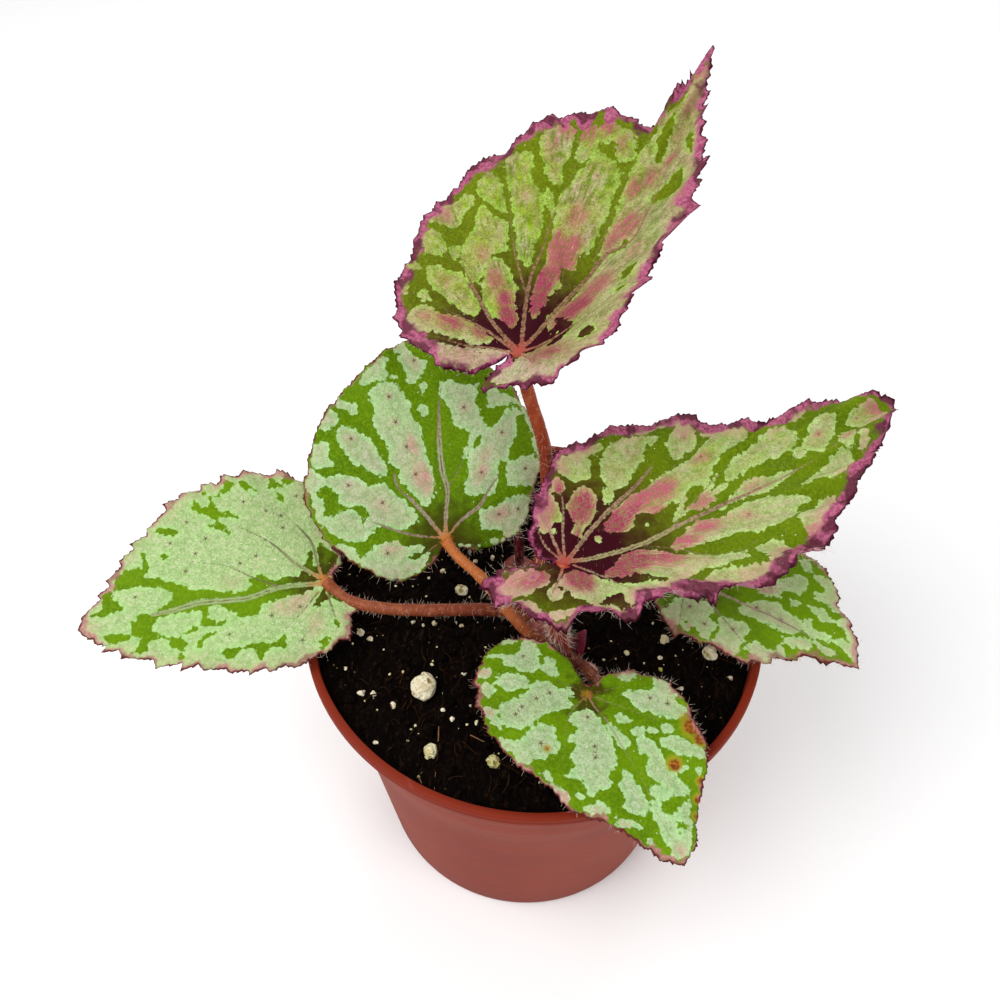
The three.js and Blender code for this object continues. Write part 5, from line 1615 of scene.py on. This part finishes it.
# Radius and height, from the middle of the underside round the rim to the middle inside
POT_PROFILE = rows([
    0, 0, 33.6, 0, 34.2, 0.05, 35.6, 0.1, 36.3, 0.3, 36.85, 0.8, 37.15, 1.5, 37.35, 2.6, 39.25, 19,
    39.3, 19.5, 41.0, 34, 42.6, 47, 44.2, 58.4, 44.55, 59.3, 44.75, 60.2, 45.4, 66, 46.1, 72.2,
    46.35, 73.3, 46.9, 73.95, 48.4, 74.35, 49.3, 74.6, 49.8, 75.0, 50.0, 75.6, 50.12, 77.3,
    50.3, 78.2, 50.62, 78.55, 50.95, 78.75, 51.0, 79.1, 51.0, 79.55, 50.86, 79.75, 50.86, 79.9,
    51.0, 80.1, 50.98, 80.5, 50.8, 80.85, 50.45, 81.0, 49.7, 81.0, 49.3, 80.85, 49.12, 80.5,
    49.1, 80.2, 48.9, 77.6, 48.8, 76.2, 48.5, 75.7, 46.2, 75.1, 45.3, 74.7, 45.05, 74.0, 43.1, 58,
    40.7, 40, 38.3, 22, 36.2, 5.2, 35.9, 3.2, 35.2, 2.1, 34.2, 1.8, 0, 1.8,
], 1, 1)
POT_SIDES = 240
DRAINS = 6
DRAIN_RADIUS = 3
DRAIN_RING = 24
DRAIN_SIDES = 40


def pot_piece(material):
    """The turned wall and floor with the drain holes cut out."""
    body = add_mesh("pot_cut", *turned(POT_PROFILE, POT_SIDES))
    v, f = turned([(0, -3), (DRAIN_RADIUS, -3), (DRAIN_RADIUS, 5), (0, 5)], DRAIN_SIDES)
    places = DRAIN_RING * as_3d(*round_about(DRAINS))
    drill = add_mesh("pot_drill", *joined([(v + place, f) for place in places])[:2])
    cut = body.modifiers.new("drains", "BOOLEAN")
    cut.operation = "DIFFERENCE"
    cut.object = drill
    view = bpy.context.evaluated_depsgraph_get()
    mesh = bpy.data.meshes.new_from_object(body.evaluated_get(view))
    for old in (body, drill):
        bpy.data.objects.remove(old)
    mesh.name = "pot_shell"
    mesh.materials.clear()
    mesh.shade_smooth()
    mesh.set_sharp_from_angle(angle=math.radians(40))
    dress(add_object("pot_shell", mesh), [material], "pot")


# Soil, perlite and litter ---------------------------------------------------------------

SOIL_EDGE = 48.62
SOIL_SPACING = 0.62
SOIL_SIDES = 300

# Radius and height of the rings below the soil's face
SOIL_BELOW = [(48.5, 76.5), (44.8, 74.3), (35.7, 4.3), (34.1, 2.1)]

# How many of each lie on the soil
PERLITE_CHIPS = 240
CRUMBS = 1500
FIBRES = 330


def crown_gap(x, y):
    """Distance from the crown's middle line, seen from above."""
    start, end = np.array(CROWN_FRONT), np.array(CROWN_BACK)
    run = end - start
    place = np.stack([x, y], -1)
    along = np.clip(((place - start) @ run) / (run @ run), 0, 1)
    return np.linalg.norm(place - start - along[..., None] * run, axis=-1)


def solid_face():
    """Casts down on to the soil solid, so that the fine soil lies where the solid does."""
    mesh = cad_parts["soil"].data
    corners = [tuple(v.co / MM) for v in mesh.vertices]
    tree = BVHTree.FromPolygons(corners, [tuple(f.vertices) for f in mesh.polygons])
    offsets = [(0, 0), (0.7, 0), (-0.35, 0.6), (-0.35, -0.6)]

    def height(x, y):
        keep = min(1, 47.2 / max(math.hypot(x, y), 1e-6))
        total = 0
        for dx, dy in offsets:
            start = Vector((x * keep + dx, y * keep + dy, 90))
            total += tree.ray_cast(start, Vector((0, 0, -1)))[0].z
        return total / len(offsets)

    return height


SOLID_FACE = solid_face()


def soil_relief(x, y):
    """Height of the soil's face at each place."""
    x, y = np.atleast_1d(x), np.atleast_1d(y)
    flat = as_3d(x, y)
    rough = 0.5 * value_noise(flat, 3.1, 41) + 0.45 * value_noise(flat, 1.5, 42)
    rough = rough + 0.28 * value_noise(flat, 0.8, 43)
    return np.array([SOLID_FACE(*place) for place in zip(x, y)]) + rough


def on_soil(part, x, y, lift):
    """A mesh moved on to the soil, lifted a little above its face."""
    vertices, faces = part
    return vertices + np.array([x, y, soil_relief(x, y)[0] + lift]), faces


def anywhere(reach):
    """A random place within reach of the pot's middle."""
    angle, reach = rng.uniform(0, TURN), reach * math.sqrt(rng.uniform())
    return reach * math.cos(angle), reach * math.sin(angle)


def soil_piece(material):
    """The rough face, with plain sides and a floor that follow the pot's wall."""
    ring = np.stack(round_about(SOIL_SIDES), -1)
    inside = lattice((-SOIL_EDGE, -SOIL_EDGE), (SOIL_EDGE, SOIL_EDGE), SOIL_SPACING)
    inside = inside[np.linalg.norm(inside, axis=1) < SOIL_EDGE - 0.5]
    flat, faces = triangulated(np.vstack([ring * SOIL_EDGE, inside]), SOIL_SIDES)
    vertices = [as_3d(*flat.T, soil_relief(*flat.T))]
    faces = faces.tolist()
    above, first = np.arange(SOIL_SIDES), len(flat)
    for radius, height in SOIL_BELOW:
        vertices.append(as_3d(*(ring * radius).T, height))
        below = first + np.arange(SOIL_SIDES)
        faces += bridges(below, above)
        above, first = below, first + SOIL_SIDES
    faces.append(above[::-1].tolist())
    piece = add_mesh("soil_bed", np.vstack(vertices), faces)
    dress(piece, [material], "soil")


def rough_grain(radius, detail, seed, squash, rugged, uneven=0.15):
    """A ball of uneven size with lumps and pits, squashed from above."""
    v, f = BALLS[detail]
    v = v * radius * rng.uniform(1 - uneven, 1 + uneven, 3)
    lump = value_noise(v + 37 * seed, radius * 0.9, seed) * rugged
    pit = value_noise(v + 11 * seed, radius * 0.4, seed + 1) * rugged * 0.5
    v = v * (1 + lump + pit)[:, None]
    return v * (1, 1, squash), f


# Perlite grains that have a solid of their own, with their mean radius and how green they are
PERLITE = {
    "perlite_lump": (3.0, 0.05), "perlite_grain_1": (1.6, 0.3), "perlite_grain_2": (1.5, 0.6),
    "perlite_grain_3": (1.6, 0.1), "perlite_grain_4": (1.6, 0.2),
}


def perlite_pieces(material):
    """Grains in their solids' places, and all the smaller ones as one piece."""
    for index, (name, (radius, green)) in enumerate(PERLITE.items()):
        v, f = rough_grain(0.98 * radius, 4, 50 + index, 0.86, 0.2, 0.05)
        hollow = smooth_step(value_noise(v, 0.55 * radius, 90 + index), 0.05, 0.4)
        v = v * (1 - 0.2 * hollow)[:, None]
        v = v + np.mean([tuple(corner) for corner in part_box(name)], axis=0) / MM
        fields = {"kind": np.full(len(v), green), "hollow": hollow}
        piece = add_mesh(name.replace("perlite", "popped"), v, f, fields)
        dress(piece, [material], name)
    parts, kinds = [], []
    for x, y, radius, green in BITS:
        grain = rough_grain(radius, 2, 70 + len(parts), 0.8, 0.45)
        parts.append(on_soil(grain, x, y, 0.2 * radius))
        kinds.append(green)
    for _ in range(PERLITE_CHIPS):
        x, y = anywhere(47.5)
        grain = rough_grain(rng.uniform(0.1, 0.36), 1, 70 + len(parts), 0.8, 0.4)
        if crown_gap(x, y) < 5.5:
            continue
        parts.append(on_soil(grain, x, y, 0.1))
        kinds.append(rng.uniform(0, 0.8))
    vertices, faces, number = joined(parts)
    piece = add_mesh("perlite_bits", vertices, faces, {"kind": np.array(kinds)[number]})
    dress(piece, [material])


def crumbs():
    """Loose crumbs of soil."""
    parts = []
    while len(parts) < CRUMBS:
        x, y = anywhere(47.6)
        radius = rng.uniform(0.35, 1.25) * (0.6 if rng.uniform() < 0.7 else 1)
        grain = rough_grain(radius, 1, 300 + len(parts), rng.uniform(0.5, 0.9), 0.35)
        if crown_gap(x, y) >= 5 and math.hypot(x, y) + radius <= 48.4:
            parts.append(on_soil(grain, x, y, 0.15 * radius))
    return parts


def fibres():
    """Bark fibres that arch a little over the soil."""
    parts = []
    while len(parts) < FIBRES:
        x, y = anywhere(45)
        if crown_gap(x, y) < 6:
            continue
        heading = rng.uniform(0, TURN)
        size = rng.uniform(1.5, 5.5)
        share = np.linspace(-0.5, 0.5, 7)
        bend = rng.uniform(-0.8, 0.8) * size * (share**2 - 0.25)
        px = x + share * size * math.cos(heading) - bend * math.sin(heading)
        py = y + share * size * math.sin(heading) + bend * math.cos(heading)
        if np.hypot(px, py).max() > 48:
            continue
        girth = rng.uniform(0.06, 0.17)
        pz = soil_relief(px, py) + girth + rng.uniform(0, 0.9) * np.sin(math.pi * (share + 0.5))
        taper = np.array([0.4, 0.9, 1, 1, 1, 0.9, 0.4])
        parts.append(tube(np.stack([px, py, pz], -1), girth * taper, 5))
    return parts


def rootlets():
    """Fine rootlets that lie on the soil."""
    parts = []
    for line in ROOTLETS:
        line = rows(line, 1, 1)
        path = curve_3d(as_3d(*line.T, soil_relief(*line.T) + 0.2), 26)
        parts.append(tube(path, np.linspace(0.15, 0.06, 27), 7, 1.0, 0.04, 0.8, 61))
    return parts


def litter_pieces(materials):
    """Loose crumbs, bark fibres and a few fine rootlets on top of the soil."""
    for name, make in (("soil_crumbs", crumbs), ("soil_fibres", fibres), ("rootlets", rootlets)):
        piece = add_mesh(name, *joined(make())[:2], smooth=name != "soil_crumbs")
        dress(piece, [materials[name]])


# The whole scene ------------------------------------------------------------------------


def light(name, at, aim, size, power):
    data = bpy.data.lights.new(name, "AREA")
    data.shape, data.size, data.energy = "DISK", size, power
    lamp = add_object(name, data)
    lamp.location = at
    lamp.rotation_euler = (Vector(aim) - Vector(at)).to_track_quat("-Z", "Y").to_euler()


def make_stage():
    mesh = bpy.data.meshes.new("floor")
    corners = [(-4, -4, 0), (4, -4, 0), (4, 4, 0), (-4, 4, 0)]
    mesh.from_pydata(corners, [], [(0, 1, 2, 3)])
    floor = add_object("floor", mesh)
    p = Paint("floor")
    pale = p.layers((250, 250, 250), (p.noise(3), (246, 246, 246)))
    mesh.materials.append(p.finish(pale, 0.9, 0.1))

    world = bpy.data.worlds.new("studio")
    world.use_nodes = True
    sky = world.node_tree.nodes["Background"].inputs
    sky["Color"].default_value = (1, 1, 1, 1)
    sky["Strength"].default_value = 0.54
    bpy.context.scene.world = world
    light("key", (-0.45, -0.25, 0.75), (0, 0, 0.09), 0.7, 5.8)
    light("fill", (0.6, -0.45, 0.5), (0, 0, 0.08), 0.6, 2.0)
    light("back", (0.15, 0.7, 0.6), (0, 0, 0.1), 0.6, 2.0)
    bpy.context.scene.view_settings.view_transform = "Standard"
    bpy.context.scene.view_settings.look = "None"


# Each stalk's colour under its blade and at its foot
STALK_TONES = {
    "top": ((154, 60, 32), (124, 46, 32)),
    "right": ((166, 54, 36), (130, 36, 34)),
    "round": ((178, 100, 44), (146, 72, 38)),
    "left": ((136, 68, 38), (104, 42, 26)),
    "front": ((140, 86, 44), (112, 50, 34)),
    "back": ((150, 84, 60), (130, 56, 44)),
}


def make_plant():
    skin = hair_skin()
    hair_parts = {"stalk": [], "leaf_blushed": [], "leaf_silver": []}
    for leaf in LEAVES:
        name = leaf.name
        slot = "leaf_blushed" if name in ("top", "right") else "leaf_silver"
        look = SimpleNamespace(**LOOKS[name])
        materials = [leaf_top("upper_" + name, look), leaf_under("lower_" + name, look)]
        blade = blade_piece(leaf, materials)
        stalk = stalk_skin("stalk_" + name, *STALK_TONES[name])
        hair_parts["stalk"].append(stalk_piece(leaf, stalk))
        hair_parts[slot].append(margin_hairs(leaf, blade))
        hair_parts[slot].append(face_hairs(leaf, blade))
    growth = plain_growth("young_growth", (128, 30, 44), (70, 10, 26), 0.35)
    hair_parts["stalk"].append(young_leaf_piece(growth))
    for slot, parts in hair_parts.items():
        dress(add_mesh("hairs_" + slot, *joined(parts)[:2]), [skin])
    crown_piece(
        {
            "crown": plain_growth("crown", (150, 70, 54), (88, 34, 28)),
            "bracts_red": plain_growth("bract_red", (130, 28, 54), (78, 12, 30), 0.4),
            "bract_pale": plain_growth("bract_pale", (226, 168, 156), (190, 110, 108), 0.4),
        }
    )


make_camera()
make_stage()
make_plant()
pot_piece(pot_skin())
soil_piece(soil_skin("soil", (7, 3, 2), (36, 21, 12)))
perlite_pieces(perlite_skin())
litter_pieces(
    {
        "soil_crumbs": soil_skin("soil_crumb", (9, 5, 3), (42, 26, 15)),
        "soil_fibres": soil_skin("soil_fibre", (38, 22, 12), (84, 54, 28)),
        "rootlets": plain_growth("rootlet", (136, 96, 60), (96, 62, 36), 0.7),
    }
)
